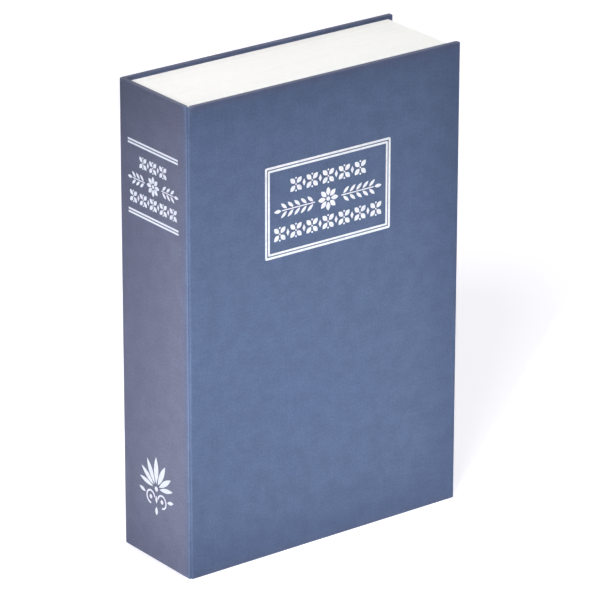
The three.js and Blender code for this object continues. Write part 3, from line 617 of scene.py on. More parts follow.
def raise_faces(mesh: BMesh, height: float) -> None:
    """Carries a flat drawing up along Z, so that it becomes solid.

    Args:
        mesh: the drawing.
        height: how far.
    """
    made = bmesh.ops.extrude_face_region(mesh, geom=mesh.faces[:])
    top = [item for item in made["geom"] if isinstance(item, BMVert)]
    bmesh.ops.translate(mesh, vec=(0.0, 0.0, height), verts=top)
    bmesh.ops.recalc_face_normals(mesh, faces=mesh.faces[:])


def round_corner(mesh: BMesh, vert: BMVert, radius: float, steps: int) -> None:
    """Rounds one corner of a flat outline."""
    bmesh.ops.bevel(mesh, geom=[vert], offset=radius, offset_type="OFFSET", segments=steps,
                    profile=0.5, affect="VERTICES", material=-1)


@dataclass(frozen=True)
class Corner:
    """A corner of a plan outline, with its rounding."""

    x: float
    y: float
    rounding: float = 0.0
    steps: int = 4


@dataclass(frozen=True)
class Panel:
    """A flat side of a cover, along X (0) or Y (1), and the window where its inside leaves the board bare."""

    along: int
    outside: float
    outward: float
    start: float
    end: float
    grid: float
    low: float
    high: float
    square: float = 0.99

    def is_bare(self, face: BMFace, bottom: float, top: float) -> bool:
        """True for a face of the inside between two heights in the window."""
        middle, inward = face.calc_center_median(), -self.outward * face.normal[1 - self.along]
        return inward > self.square and self.low < middle[self.along] < self.high and bottom < middle.z < top


@dataclass(frozen=True)
class BookSizes:
    """Planes of the closed book, and the sizes of its cloth."""

    left: float
    right: float
    front: float
    back: float
    high: float
    wrap: float
    cloth: float = 0.4 * MM
    fold_radius: float = 2.0 * MM
    fold_steps: int = 10
    edge_radius: float = 0.6 * MM
    head_rounding: float = 0.4 * MM
    half_crease: float = 0.45 * MM
    turn_in: float = 15.0 * MM
    joint_turn_in: float = 4.0 * MM
    # Painted shade toward the tail, the head and the fore-edge: how dark it is, and how far it reaches.
    tail_painted_shade: Wear = (0.95, 17.0 * MM)
    head_painted_shade: Wear = (0.75, 13.0 * MM)
    fore_painted_shade: Wear = (0.8, 16.0 * MM)
    slow_swell: float = 0.035 * MM
    slow_waves: tuple[float, float, float, float] = (41.0, 0.7, 33.0, 0.4)
    quick_swell: float = 0.012 * MM
    quick_waves: tuple[float, float, float] = (97.0, 61.0, 1.9)

    @classmethod
    def from_frame(cls) -> "BookSizes":
        """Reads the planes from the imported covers.

        Returns:
            The sizes.
        """
        case_low, case_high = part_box("case_cloth")
        front_low, front_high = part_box("front_cloth")
        return cls(left=case_low.x, right=front_high.x, front=front_low.y, back=case_high.y,
                   high=case_high.z, wrap=front_high.y - front_low.y)

    @property
    def fold_centre(self) -> Vector:
        """Axis of the round corner between spine and front cover."""
        return Vector((self.left + self.fold_radius, self.front + self.fold_radius, 0.0))

    @property
    def pivot(self) -> Vector:
        """Place on the round corner where the front cover turns."""
        return self.fold_centre - Vector((1.0, 1.0, 0.0)).normalized() * self.fold_radius

    @property
    def across(self) -> Vector:
        """Direction across the crease, from the spine to the front cover."""
        return Vector((1.0, -1.0, 0.0)).normalized()

    def lip(self, side: int) -> Vector:
        """Edge of the crease on the round corner: side 1 is the spine's, -1 the front cover's."""
        angle = math.radians(225) - side * math.asin(self.half_crease / self.fold_radius)
        return self.fold_centre + Vector((math.cos(angle), math.sin(angle), 0.0)) * self.fold_radius

    def developed(self, point: Vector, normal: Vector) -> float:
        """Length along the cloth round the case, from the crease.

        Args:
            point: a place on the cloth.
            normal: of the face that the place is on.

        Returns:
            Metres: above zero on the front cover, below on the spine and further below on the back cover.
        """
        radius = self.fold_radius
        front_fold = point - self.fold_centre
        back_fold = point - Vector((self.left + radius, self.back - radius, 0.0))
        quarter = radius * math.pi / 4
        spine_end = quarter + (self.back - self.front - 2 * radius)
        if normal.dot(self.across) ** 2 > 0.8 and point.y < self.front + 2 * self.wrap:
            return (point - self.pivot).xy.length
        if front_fold.x < 0 and front_fold.y < 0:
            return radius * (math.atan2(front_fold.y, front_fold.x) + math.radians(135))
        if back_fold.x < 0 and back_fold.y > 0:
            return -spine_end - radius * (math.pi - math.atan2(back_fold.y, back_fold.x))
        if abs(normal.x) > abs(normal.y):
            return -front_fold.y - quarter
        if back_fold.y > -self.wrap - radius:
            return -spine_end - 2 * quarter - back_fold.x
        return front_fold.x + quarter

    def painted_shade(self, point: Vector) -> float:
        """Painted shade on the cloth: darker at the tail, the head and the fore-edge.

        Args:
            point: a place on the cloth.

        Returns:
            The painted shade, 0 to 1.
        """
        gaps = (point.z, self.high - point.z, self.right - point.x)
        ends = zip(gaps, (self.tail_painted_shade, self.head_painted_shade, self.fore_painted_shade))
        return 1 - math.prod(1 - amount * math.exp(-(gap / reach) ** 2) for gap, (amount, reach) in ends)

    def drum(self, across: float, height: float) -> float:
        """Slight unevenness of a covered board.

        Args:
            across, height: a place on the board.

        Returns:
            Metres along its outward normal.
        """
        across_turns, across_start, height_turns, height_start = self.slow_waves
        slow = math.sin(across * across_turns + across_start) * math.sin(height * height_turns + height_start)
        across_turns, height_turns, start = self.quick_waves
        quick = math.sin(across * across_turns + height * height_turns + start)
        return self.slow_swell * slow + self.quick_swell * quick


def cut_lines(low: float, high: float, step: float) -> list[float]:
    """Places of grid cuts between two edges, closer together near both.

    Args:
        low, high: the edges.
        step: wanted distance between cuts in the middle.

    Returns:
        The places, without the edges themselves.
    """
    span = high - low - 2 * NEAR_CUTS[-1]
    count = max(2, round(span / step))
    middle = [low + NEAR_CUTS[-1] + span * index / count for index in range(1, count)]
    return [low + gap for gap in NEAR_CUTS] + middle + [high - gap for gap in reversed(NEAR_CUTS)]


@dataclass
class BoardCover:
    """Cloth wrapped round a board: an outline carried from tail to head and hollow for the board."""

    sizes: BookSizes
    grid: float = 8 * MM
    rim_fade: Wear = (0.75, 1.4 * MM)
    rim_sun: float = 0.25
    edge_wear: Wear = (0.5, 0.8 * MM)
    corner_wear: Wear = (0.6, 2.5 * MM)
    # Lighter lines along the lips of the crease, on the spine's side and on the front cover's.
    spine_lip_light_line: Wear = (0.9, 1.1 * MM)
    cover_lip_light_line: Wear = (0.3, 0.7 * MM)
    end_normal: float = 0.75
    mesh: BMesh = field(default_factory=bmesh.new)

    def make(self, name: str, cloth: Material, corners: list[Corner], side: int, *panels: Panel) -> Piece:
        """Models the cloth.

        Args:
            name: name of the piece.
            cloth: its finish.
            corners: of its plan.
            side: 1 for the spine's side of the crease and -1 for the front cover's.
            panels: its flat sides.

        Returns:
            The finished piece.
        """
        sizes, mesh = self.sizes, self.mesh
        self.raise_outline(corners)
        self.cut_crease(side)
        bottom, top = sizes.turn_in, sizes.high - sizes.turn_in
        for panel in panels:
            self.slice(panel.along, cut_lines(panel.start, panel.end, panel.grid) + [panel.low, panel.high])
        self.slice(2, cut_lines(0.0, sizes.high, self.grid) + [bottom, top])
        for panel in panels:
            bare = [face for face in mesh.faces if panel.is_bare(face, bottom, top)]
            bmesh.ops.delete(mesh, geom=bare, context="FACES")
        for panel in panels:
            out = 1 - panel.along
            for vert in mesh.verts:
                if abs(vert.co[out] - panel.outside) < TINY:
                    vert.co[out] += panel.outward * sizes.drum(vert.co[panel.along], vert.co.z)
        bmesh.ops.solidify(mesh, geom=mesh.faces[:], thickness=sizes.cloth)
        self.mark()
        return finish_object(name, mesh, cloth)

    def raise_outline(self, corners: list[Corner]) -> None:
        """Draws the outline, rounds its corners, carries it from tail to head and rounds both ends.

        Args:
            corners: of the outline.
        """
        mesh = self.mesh
        verts = [mesh.verts.new((corner.x, corner.y, 0.0)) for corner in corners]
        mesh.faces.new(verts)
        for vert, corner in zip(verts, corners):
            if corner.rounding > 0:
                round_corner(mesh, vert, corner.rounding, corner.steps)
        raise_faces(mesh, self.sizes.high)
        rims = [edge for edge in mesh.edges if abs(edge.verts[0].co.z - edge.verts[1].co.z) < TINY]
        bmesh.ops.bevel(mesh, geom=rims, offset=self.sizes.head_rounding, offset_type="OFFSET", segments=3,
                        profile=0.5, affect="EDGES", clamp_overlap=False, material=-1)

    def cut_crease(self, side: int) -> None:
        """Cuts the round fold at the crease and closes the cut, which is the crease's wall.

        Args:
            side: 1 keeps the spine's side and -1 the front cover's.
        """
        mesh = self.mesh
        limit = self.sizes.front + 2 * self.sizes.wrap
        self.slice(1, [limit])
        near = [face for face in mesh.faces if face.calc_center_median().y < limit]
        near_edges = dict.fromkeys(edge for face in near for edge in face.edges)
        near_verts = dict.fromkeys(vert for face in near for vert in face.verts)
        bmesh.ops.bisect_plane(mesh, geom=[*near_verts, *near_edges, *near], dist=ON_PLANE, clear_outer=True,
                               plane_co=self.sizes.lip(side), plane_no=self.sizes.across * side)
        rim = [edge for edge in mesh.edges if edge.is_boundary]
        bmesh.ops.holes_fill(mesh, edges=rim, sides=0)
        bmesh.ops.recalc_face_normals(mesh, faces=mesh.faces[:])

    def slice(self, axis: int, places: Iterable[float]) -> None:
        """Cuts the surface along planes.

        Args:
            axis: 0, 1 or 2 for planes square to X, Y or Z.
            places: where the planes are.
        """
        normal = Vector((0.0, 0.0, 0.0))
        normal[axis] = 1.0
        for place in places:
            everything = [*self.mesh.verts, *self.mesh.edges, *self.mesh.faces]
            bmesh.ops.bisect_plane(self.mesh, geom=everything, dist=ON_PLANE,
                                   plane_co=normal * place, plane_no=normal)

    def mark(self) -> None:
        """Adds the cloth's map and its fade, faded tone with painted light, edge and painted shade values."""
        values = (("fade", self.fade), ("fade_tone_and_painted_light", self.fade_tone_and_painted_light), ("edge", self.edge), ("painted_shade", self.sizes.painted_shade))
        for name, measure in values:
            layer = self.mesh.verts.layers.float.new(name)
            for vert in self.mesh.verts:
                vert[layer] = measure(vert.co)
        uv_layer = self.mesh.loops.layers.uv.new("cloth_map")
        for face in self.mesh.faces:
            end_face = abs(face.normal.z) > self.end_normal
            for loop in face.loops:
                point = loop.vert.co
                depth = point.y - self.sizes.front if end_face else 0.0
                loop[uv_layer].uv = (self.sizes.developed(point, face.normal), point.z + depth)

    def fade(self, point: Vector) -> float:
        """Loss of dye, 0 to 1: along the rims at head and tail."""
        (amount, reach), rim = self.rim_fade, min(abs(point.z), abs(self.sizes.high - point.z))
        return amount * math.exp(-rim / reach)

    def fade_tone_and_painted_light(self, point: Vector) -> float:
        """How light the faded cloth is, 0 to 1."""
        return self.rim_sun

    def edge(self, point: Vector) -> float:
        """Wear of the cloth's outer edges and its corners, and lighter lines along the lips of the crease.

        Args:
            point: a place on the cloth.

        Returns:
            The wear and the lip lines, 0 without any.
        """
        sizes = self.sizes
        gaps = sorted((
            min(abs(point.x - sizes.left), abs(sizes.right - point.x)),
            min(abs(point.y - sizes.front), abs(sizes.back - point.y)),
            min(abs(point.z), abs(sizes.high - point.z)),
        ))
        places = (gaps[1], gaps[2], (point.xy - sizes.lip(1).xy).length, (point.xy - sizes.lip(-1).xy).length)
        worn = (self.edge_wear, self.corner_wear, self.spine_lip_light_line, self.cover_lip_light_line)
        return sum(amount * math.exp(-place / reach) for place, (amount, reach) in zip(places, worn))


@dataclass
class CaseCloth(BoardCover):
    """One cloth over the spine and the back cover."""

    spine_grid: float = 5 * MM
    crease_dye: float = 0.3
    crease_dye_start: float = 1.6 * MM
    crease_dye_length: float = 3.6 * MM
    # Painted light on the spine: its share across toward the crease, and down toward the tail.
    painted_light_across: float = 0.53
    painted_light_down: float = 0.47

    def build(self, cloth: Material) -> Piece:
        """Models the cloth: fold, spine inside, back cover inside, fore-edge and back.

        Args:
            cloth: its finish.

        Returns:
            The finished piece, riding on the base.
        """
        sizes = self.sizes
        inner, inner_back = sizes.left + sizes.wrap, sizes.back - sizes.wrap
        corners = [
            Corner(sizes.left, sizes.front, sizes.fold_radius, sizes.fold_steps),
            Corner(inner, sizes.front),
            Corner(inner, inner_back),
            Corner(sizes.right, inner_back, sizes.edge_radius),
            Corner(sizes.right, sizes.back, sizes.edge_radius),
            Corner(sizes.left, sizes.back, sizes.fold_radius, sizes.fold_steps),
        ]
        joint = sizes.joint_turn_in
        back = Panel(0, sizes.back, 1.0, sizes.left, sizes.right, self.grid,
                     inner + joint, sizes.right - sizes.turn_in)
        spine = Panel(1, sizes.left, -1.0, sizes.front, sizes.back, self.spine_grid,
                      sizes.front + sizes.wrap + joint, inner_back - joint)
        made = self.make("spine_and_back_cloth", cloth, corners, 1, back, spine)
        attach(made, "base")
        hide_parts("case_cloth")
        return made

    def fade(self, point: Vector) -> float:
        """Loss of dye: nearly all on the spine, less toward the crease, and along the rims elsewhere.

        Args:
            point: a place on the cloth.

        Returns:
            The loss, 0 to 1.
        """
        sizes = self.sizes
        if point.x > sizes.left + sizes.wrap or point.y > sizes.back - sizes.edge_radius:
            return super().fade(point)
        share = (point.y - sizes.front - self.crease_dye_start) / self.crease_dye_length
        share = min(max(share, 0.0), 1.0)
        return self.crease_dye + (1 - self.crease_dye) * share * share * (3 - 2 * share)

    def fade_tone_and_painted_light(self, point: Vector) -> float:
        """How light the faded cloth is: on the spine this is painted light toward the crease and the tail,
        and painted shade toward the back and the head.

        Args:
            point: a place on the cloth.

        Returns:
            The lightness, 0 to 1.
        """
        sizes = self.sizes
        if point.x > sizes.left + sizes.wrap:
            return super().fade_tone_and_painted_light(point)
        across = (sizes.back - point.y) / (sizes.back - sizes.front)
        return self.painted_light_across * across + self.painted_light_down * (1 - point.z / sizes.high)


@dataclass
class FrontCloth(BoardCover):
    """Cloth over the front cover."""

    def build(self, cloth: Material) -> Piece:
        """Models the cloth: fold, front face, fore-edge and inside.

        Args:
            cloth: its finish.

        Returns:
            The finished piece, riding on the front cover.
        """
        sizes = self.sizes
        inner_front = sizes.front + sizes.wrap
        corners = [
            Corner(sizes.left, sizes.front, sizes.fold_radius, sizes.fold_steps),
            Corner(sizes.right, sizes.front, sizes.edge_radius),
            Corner(sizes.right, inner_front, sizes.edge_radius),
            Corner(sizes.left, inner_front),
        ]
        panel = Panel(0, sizes.front, -1.0, sizes.left, sizes.right, self.grid,
                      sizes.left + sizes.wrap + sizes.joint_turn_in, sizes.right - sizes.turn_in)
        made = self.make("front_cover_cloth", cloth, corners, -1, panel)
        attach(made, "front_cover")
        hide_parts("front_cloth")
        return made


@dataclass(frozen=True)
class CreaseCloth:
    """The strip of cloth pressed into the crease."""

    sizes: BookSizes
    side_depth: float = 0.38 * MM
    middle_depth: float = 0.55 * MM
    thickness: float = 1.9 * MM
    side_lap: float = 0.01 * MM
    inner_spread: float = 5.0
    end_gap: float = 0.15 * MM
    columns: int = 12
    rows: int = 48

    def build(self, cloth: Material) -> Piece:
        """Models the strip.

        Args:
            cloth: its finish.

        Returns:
            The finished piece.
        """
        sizes, across = self.sizes, self.sizes.across
        outward = Vector((-1.0, -1.0, 0.0)).normalized()
        mesh = bmesh.new()
        bmesh.ops.create_grid(mesh, x_segments=self.columns, y_segments=self.rows, size=0.5)
        half = sizes.half_crease + self.side_lap
        for vert in mesh.verts:
            share = vert.co.x * 2
            depth = self.side_depth + (self.middle_depth - self.side_depth) * (1 - share * share)
            height = (vert.co.y + 0.5) * sizes.high
            vert.co = sizes.pivot + across * (share * half) - outward * depth
            vert.co.z = min(max(height, self.end_gap), sizes.high - self.end_gap)
        bmesh.ops.recalc_face_normals(mesh, faces=mesh.faces[:])
        if sum(face.normal.dot(outward) for face in mesh.faces) < 0:
            bmesh.ops.reverse_faces(mesh, faces=mesh.faces[:])
        bmesh.ops.solidify(mesh, geom=mesh.faces[:], thickness=self.thickness)
        self.mark(mesh, outward)
        made = finish_object("crease_cloth", mesh, cloth)
        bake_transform(made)
        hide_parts("hinge_cloth")
        return made

    def mark(self, mesh: BMesh, outward: Vector) -> None:
        """Adds the cloth's map and values, of which only the painted shade isn't zero.

        Args:
            mesh: the strip.
            outward: direction out of the crease.
        """
        across = self.sizes.across
        uv_layer = mesh.loops.layers.uv.new("cloth_map")
        for face in mesh.faces:
            at_side = abs(face.normal.dot(across)) > 0.7
            for loop in face.loops:
                offset = loop.vert.co - self.sizes.pivot
                depth = -offset.dot(outward)
                spread = self.inner_spread if depth > self.thickness / 2 else 1.0
                loop[uv_layer].uv = (depth if at_side else offset.dot(across) * spread, offset.z)
        for name in ("fade", "fade_tone_and_painted_light", "edge"):
            mesh.verts.layers.float.new(name)
        # Painted shade of the strip toward the tail and the head.
        layer = mesh.verts.layers.float.new("painted_shade")
        for vert in mesh.verts:
            vert[layer] = self.sizes.painted_shade(vert.co)


@dataclass(frozen=True)
class StampFace:
    """A face of the case that is stamped, and the length of a drawing's unit there."""

    sizes: BookSizes
    body: str
    middle: Vector
    right: Vector
    outward: Vector
    along: int
    unit: float = MM
    foil: float = 0.06 * MM

    def matrix(self) -> Matrix:
        """Takes a drawing, one unit thick, to the book's frame.

        Returns:
            The matrix for that.
        """
        turned = Matrix((self.right, self.outward.cross(self.right), self.outward)).transposed().to_4x4()
        scaled = Matrix.Diagonal((self.unit, self.unit, self.foil, 1.0))
        return Matrix.Translation(self.middle) @ turned @ scaled

    def swell(self, point: Vector) -> Vector:
        """Moves a point with the slight unevenness of the cloth."""
        return point + self.outward * self.sizes.drum(point[self.along], point.z)


class StampTool:
    """A binder's brass: flat ornaments drawn in a unit of their own, then stamped in foil."""

    def __init__(self) -> None:
        """Starts with nothing drawn."""
        self.mesh = bmesh.new()

    def _place(self, x: float, y: float, width: float = 1.0, height: float = 1.0, angle: float = 0) -> Matrix:
        """Scales a shape, turns it by some degrees and moves it."""
        turn = Matrix.Rotation(math.radians(angle), 4, "Z")
        return Matrix.Translation((x, y, 0.0)) @ turn @ Matrix.Diagonal((width, height, 1.0, 1.0))

    def dot(self, x: float, y: float, radius: float) -> None:
        """Draws a filled round dot."""
        place = self._place(x, y)
        bmesh.ops.create_circle(self.mesh, cap_ends=True, segments=DOT_SIDES, radius=radius, matrix=place)

    def lozenge(self, x: float, y: float, half_width: float, half_height: float) -> None:
        """Draws a filled lozenge."""
        place = self._place(x, y, half_width, half_height)
        bmesh.ops.create_circle(self.mesh, cap_ends=True, segments=4, radius=1.0, matrix=place)

    def bar(self, x: float, y: float, width: float, height: float) -> None:
        """Draws a rule."""
        place = self._place(x, y, width, height)
        bmesh.ops.create_grid(self.mesh, x_segments=1, y_segments=1, size=0.5, matrix=place)

    def leaf(self, x: float, y: float, angle: float, length: float, width: float) -> None:
        """Draws a leaf with two pointed ends.

        Args:
            x, y: its base.
            angle: degrees from right, anticlockwise.
            length, width: its size.
        """
        made = bmesh.ops.create_circle(self.mesh, cap_ends=True, segments=LEAF_SIDES, radius=1.0)
        for vert in made["verts"]:
            vert.co.y *= abs(vert.co.y)
        place = self._place(x, y, length / 2, width / 2, angle) @ Matrix.Translation((1.0, 0.0, 0.0))
        bmesh.ops.transform(self.mesh, matrix=place, verts=made["verts"])

    def arc(self, x: float, y: float, radius: float, width: float, start: float, sweep: float) -> None:
        """Draws a round band.

        Args:
            x, y: its centre.
            radius, width: of its middle line, and across it.
            start, sweep: degrees.
        """
        begin = math.radians(start)
        way = Vector((math.cos(begin), math.sin(begin), 0.0))
        centre = Vector((x, y, 0.0))
        ends = [self.mesh.verts.new(centre + way * (radius + offset)) for offset in (-width / 2, width / 2)]
        edge = self.mesh.edges.new(ends)
        steps = max(3, round(abs(sweep) / ARC_STEP))
        bmesh.ops.spin(self.mesh, geom=[*ends, edge], cent=centre, axis=(0.0, 0.0, 1.0),
                       angle=math.radians(sweep), steps=steps, use_duplicate=False)

    def frame(self, width: float, height: float, rule: float, rounding: float) -> None:
        """Draws a rectangular rule with rounded corners.

        Args:
            width, height: outside size.
            rule: width of the line.
            rounding: of the outer corners.
        """
        made = bmesh.ops.create_grid(self.mesh, x_segments=1, y_segments=1, size=0.5,
                                     matrix=self._place(0.0, 0.0, width, height))
        for vert in made["verts"]:
            round_corner(self.mesh, vert, rounding, 3)
        outline = max(self.mesh.faces, key=lambda face: face.calc_area())
        bmesh.ops.inset_region(self.mesh, faces=[outline], thickness=rule,
                               use_even_offset=True, use_boundary=True)
        bmesh.ops.delete(self.mesh, geom=[outline], context="FACES_ONLY")

    def stamp(self, name: str, face: StampFace, foil: Material) -> Piece:
        """Lays the drawing on a face of the case as foil.

        Args:
            name: name of the piece.
            face: where it is stamped.
            foil: its finish.

        Returns:
            The finished piece.
        """
        for flat in self.mesh.faces:
            if flat.normal.z < 0:
                flat.normal_flip()
        raise_faces(self.mesh, 1.0)
        bmesh.ops.transform(self.mesh, matrix=face.matrix(), verts=self.mesh.verts[:])
        for vert in self.mesh.verts:
            vert.co = face.swell(vert.co)
        piece = finish_object(name, self.mesh, foil)
        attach(piece, face.body)
        return piece


@dataclass(frozen=True)
class Leaf:
    """Size of a leaf or petal, and how far its base is from the middle of its flower."""

    length: float
    width: float
    start: float = 0.0

    def around(self, tool: StampTool, x: float, y: float, angles: Iterable[float]) -> None:
        """Draws the leaf at several angles round a middle.

        Args:
            tool: where they are drawn.
            x, y: the middle.
            angles: degrees from right, anticlockwise.
        """
        for angle in angles:
            out_x, out_y = math.cos(math.radians(angle)), math.sin(math.radians(angle))
            tool.leaf(x + self.start * out_x, y + self.start * out_y, angle, self.length, self.width)


@dataclass(frozen=True)
class FlowerRow:
    """Row of four-petal flowers with lozenges between them."""

    pairs: int
    pitch: float = 9.6
    petal: Leaf = Leaf(3.9, 2.5, 0.75)
    heart: float = 0.45
    dot: float = 0.5
    dot_height: float = 3.2
    lozenge: tuple[float, float] = (0.95, 1.9)

    def draw(self, tool: StampTool, height: float) -> None:
        """Draws the row.

        Args:
            tool: where it is drawn.
            height: of its middle line.
        """
        for index in range(-self.pairs, self.pairs + 1):
            centre = index * self.pitch
            self.petal.around(tool, centre, height, PETAL_ANGLES)
            tool.dot(centre, height, self.heart)
            for side in (-1, 1):
                tool.dot(centre, height + side * self.dot_height, self.dot)
        for index in range(-self.pairs, self.pairs):
            tool.lozenge((index + 0.5) * self.pitch, height, *self.lozenge)


@dataclass(frozen=True)
class LaurelRow:
    """Rosette with a laurel branch to each side."""

    sprays: int
    rosette: Leaf = Leaf(4.4, 2.5, 1.6)
    petals: int = 8
    heart: float = 1.1
    branch_start: float = 7.9
    spray_start: float = 9.0
    spray_pitch: float = 3.9
    stem: float = 0.55
    lean: float = 42.0
    leaf: Leaf = Leaf(4.6, 1.7, 0.65)
    tip: Leaf = Leaf(4.2, 1.9, 8.4)

    def draw(self, tool: StampTool, height: float) -> None:
        """Draws the row.

        Args:
            tool: where it is drawn.
            height: of its middle line.
        """
        self.rosette.around(tool, 0.0, height, (index * 360.0 / self.petals for index in range(self.petals)))
        tool.dot(0.0, height, self.heart)
        reach = self.sprays * self.spray_pitch
        for side, forward in ((1, 0.0), (-1, 180.0)):
            tool.bar(side * (self.branch_start + reach / 2), height, reach, self.stem)
            for step in range(self.sprays):
                base = side * (self.spray_start + step * self.spray_pitch)
                for lean in (-1, 1):
                    tool.leaf(base, height + lean * self.leaf.start, forward + side * lean * self.lean,
                              self.leaf.length, self.leaf.width)
            tool.leaf(side * (self.tip.start + reach), height, forward, self.tip.length, self.tip.width)


@dataclass(frozen=True)
class OrnamentPanel:
    """Three rows of printers' flowers, as on a plain library binding, in millimetres times a scale."""

    upper: FlowerRow
    middle: LaurelRow
    lower: FlowerRow
    pitch: float
    scale: float = 1.0

    def draw(self, tool: StampTool) -> None:
        """Draws the three rows about the middle of the panel on a tool."""
        for row, place in ((self.upper, 1), (self.middle, 0), (self.lower, -1)):
            row.draw(tool, place * self.pitch / self.scale)


@dataclass(frozen=True)
class Palmette:
    """A fan of leaves over two scrolls, in millimetres."""

    base: float = -1.5
    middle: Leaf = Leaf(14.0, 3.6, 2.8)
    fan: tuple[tuple[float, Leaf], ...] = (
        (62.0, Leaf(13.0, 3.2, 2.8)), (36.0, Leaf(12.0, 2.8, 2.8)), (12.0, Leaf(11.0, 2.4, 2.8)))
    heart: float = 1.3
    scroll_x: float = 4.6
    scroll_drop: float = 5.4
    scroll_radius: float = 3.3
    scroll_width: float = 0.9
    scroll_sweep: float = 260.0
    eye: float = 1.1
    wing: Leaf = Leaf(5.2, 1.9, 9.0)
    wing_drop: float = 4.2
    wing_angle: float = 15.0
    foot: Leaf = Leaf(4.4, 2.2, 9.4)
    lozenge_drop: float = 5.6
    lozenge: tuple[float, float] = (1.0, 2.1)

    def draw(self, tool: StampTool) -> None:
        """Draws the palmette about the middle of its place.

        Args:
            tool: where it is drawn.
        """
        self.middle.around(tool, 0.0, self.base, (90.0,))
        for angle, leaf in self.fan:
            leaf.around(tool, 0.0, self.base, (angle, 180.0 - angle))
        tool.dot(0.0, self.base, self.heart)
        scroll_y = self.base - self.scroll_drop
        for side, start, wing in ((1, -90.0, self.wing_angle), (-1, 270.0, 180.0 - self.wing_angle)):
            x = side * self.scroll_x
            tool.arc(x, scroll_y, self.scroll_radius, self.scroll_width, start, side * self.scroll_sweep)
            tool.dot(x, scroll_y, self.eye)
            tool.leaf(side * self.wing.start, self.base - self.wing_drop, wing,
                      self.wing.length, self.wing.width)
        tool.lozenge(0.0, self.base - self.lozenge_drop, *self.lozenge)
        tool.leaf(0.0, self.base - self.foot.start, -90.0, self.foot.length, self.foot.width)


@dataclass(frozen=True)
class CoverStamp:
    """Foil on the front cover: a double rule round an ornament panel, drawn in millimetres."""

    sizes: BookSizes
    middle_x: float = 1.3 * MM
    middle_z: float = 177.4 * MM
    width: float = 74.9
    height: float = 46.5
    outer_rule: float = 1.15
    inner_rule: float = 1.05
    rule_gap: float = 0.55
    outer_corner: float = 0.9
    inner_corner: float = 0.5
    panel: OrnamentPanel = OrnamentPanel(FlowerRow(2), LaurelRow(5), FlowerRow(3), 11.6)

    def build(self, foil: Material) -> list[Piece]:
        """Stamps the rules and the ornament.

        Args:
            foil: their finish.

        Returns:
            The two pieces.
        """
        face = StampFace(self.sizes, "front_cover", Vector((self.middle_x, self.sizes.front, self.middle_z)),
                         Vector((1.0, 0.0, 0.0)), Vector((0.0, -1.0, 0.0)), 0)
        rules, ornament = StampTool(), StampTool()
        inset = 2 * (self.outer_rule + self.rule_gap)
        rules.frame(self.width - inset, self.height - inset, self.inner_rule, self.inner_corner)
        rules.frame(self.width, self.height, self.outer_rule, self.outer_corner)
        self.panel.draw(ornament)
        return [
            rules.stamp("front_foil_rules", face, foil),
            ornament.stamp("front_foil_ornament", face, foil),
        ]


@dataclass(frozen=True)
class SpineStamp:
    """Foil on the spine: double rules above and below an ornament panel, and a palmette near the tail."""

    sizes: BookSizes
    rule_length: float = 40.4
    rule_width: float = 0.95
    rules: tuple[float, ...] = (212.1, 210.5, 177.0, 175.4)
    panel_z: float = 193.3 * MM
    panel: OrnamentPanel = OrnamentPanel(FlowerRow(1), LaurelRow(3), FlowerRow(2), 9.3, 0.84)
    palmette_z: float = 39.5 * MM
    palmette: Palmette = Palmette()

    def face(self, height: float, scale: float = 1.0) -> StampFace:
        """The spine's face about a height, for drawings in millimetres times a scale."""
        return StampFace(self.sizes, "base", Vector((self.sizes.left, 0.0, height)), Vector((0.0, -1.0, 0.0)),
                         Vector((-1.0, 0.0, 0.0)), 1, scale * MM)

    def build(self, foil: Material) -> list[Piece]:
        """Stamps the rules, the ornament and the palmette.

        Args:
            foil: their finish.

        Returns:
            The three pieces.
        """
        rules, ornament, palmette = StampTool(), StampTool(), StampTool()
        for height in self.rules:
            rules.bar(0.0, height, self.rule_length, self.rule_width)
        self.panel.draw(ornament)
        self.palmette.draw(palmette)
        return [
            rules.stamp("spine_foil_rules", self.face(0.0), foil),
            ornament.stamp("spine_foil_ornament", self.face(self.panel_z, self.panel.scale), foil),
            palmette.stamp("spine_foil_palmette", self.face(self.palmette_z), foil),
        ]


@dataclass(frozen=True)
class SteelPiece:
    """A hard metal node, whose edges get a fine rounding."""

    node: str
    rounding: float
    weld: float = 2e-6
    flat: float = 0.5
    sharp: float = 30.0

    def build(self, material: Material, body: str, slot: str) -> Piece:
        """Replaces the node by a copy with welded corners and rounded edges.

        Args:
            material: its finish.
            body: what it rides on.
            slot: not used.

        Returns:
            The new piece.
        """
        mesh = bmesh.new()
        mesh.from_mesh(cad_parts[self.node].data)
        bmesh.ops.remove_doubles(mesh, verts=mesh.verts[:], dist=self.weld)
        bmesh.ops.dissolve_limit(mesh, angle_limit=math.radians(self.flat),
                                 verts=mesh.verts[:], edges=mesh.edges[:])
        made = finish_object(f"{self.node}_finished", mesh, material, smooth=self.sharp)
        ease = made.modifiers.new("eased_edges", "BEVEL")
        ease.width = self.rounding
        ease.segments = 2
        ease.limit_method = "ANGLE"
        ease.angle_limit = math.radians(self.sharp)
        level = made.modifiers.new("level_faces", "WEIGHTED_NORMAL")
        level.weight = 100
        level.keep_sharp = True
        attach(made, body)
        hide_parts(self.node)
        return made


def dress(nodes: Iterable[str], material: Material) -> None:
    """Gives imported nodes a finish.

    Args:
        nodes: their names.
        material: the finish.
    """
    for name in nodes:
        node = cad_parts[name]
        if not node.material_slots:
            node.data.materials.append(material)
        for place in node.material_slots:
            place.material = material
        LOG.info("%s dressed in %s", name, material.name)


def direction(azimuth: float, elevation: float) -> Vector:
    """Direction to a camera or lamp, from its angles in degrees."""
    turn, rise = math.radians(azimuth), math.radians(elevation)
    return Vector((math.sin(turn) * math.cos(rise), -math.cos(turn) * math.cos(rise), math.sin(rise)))


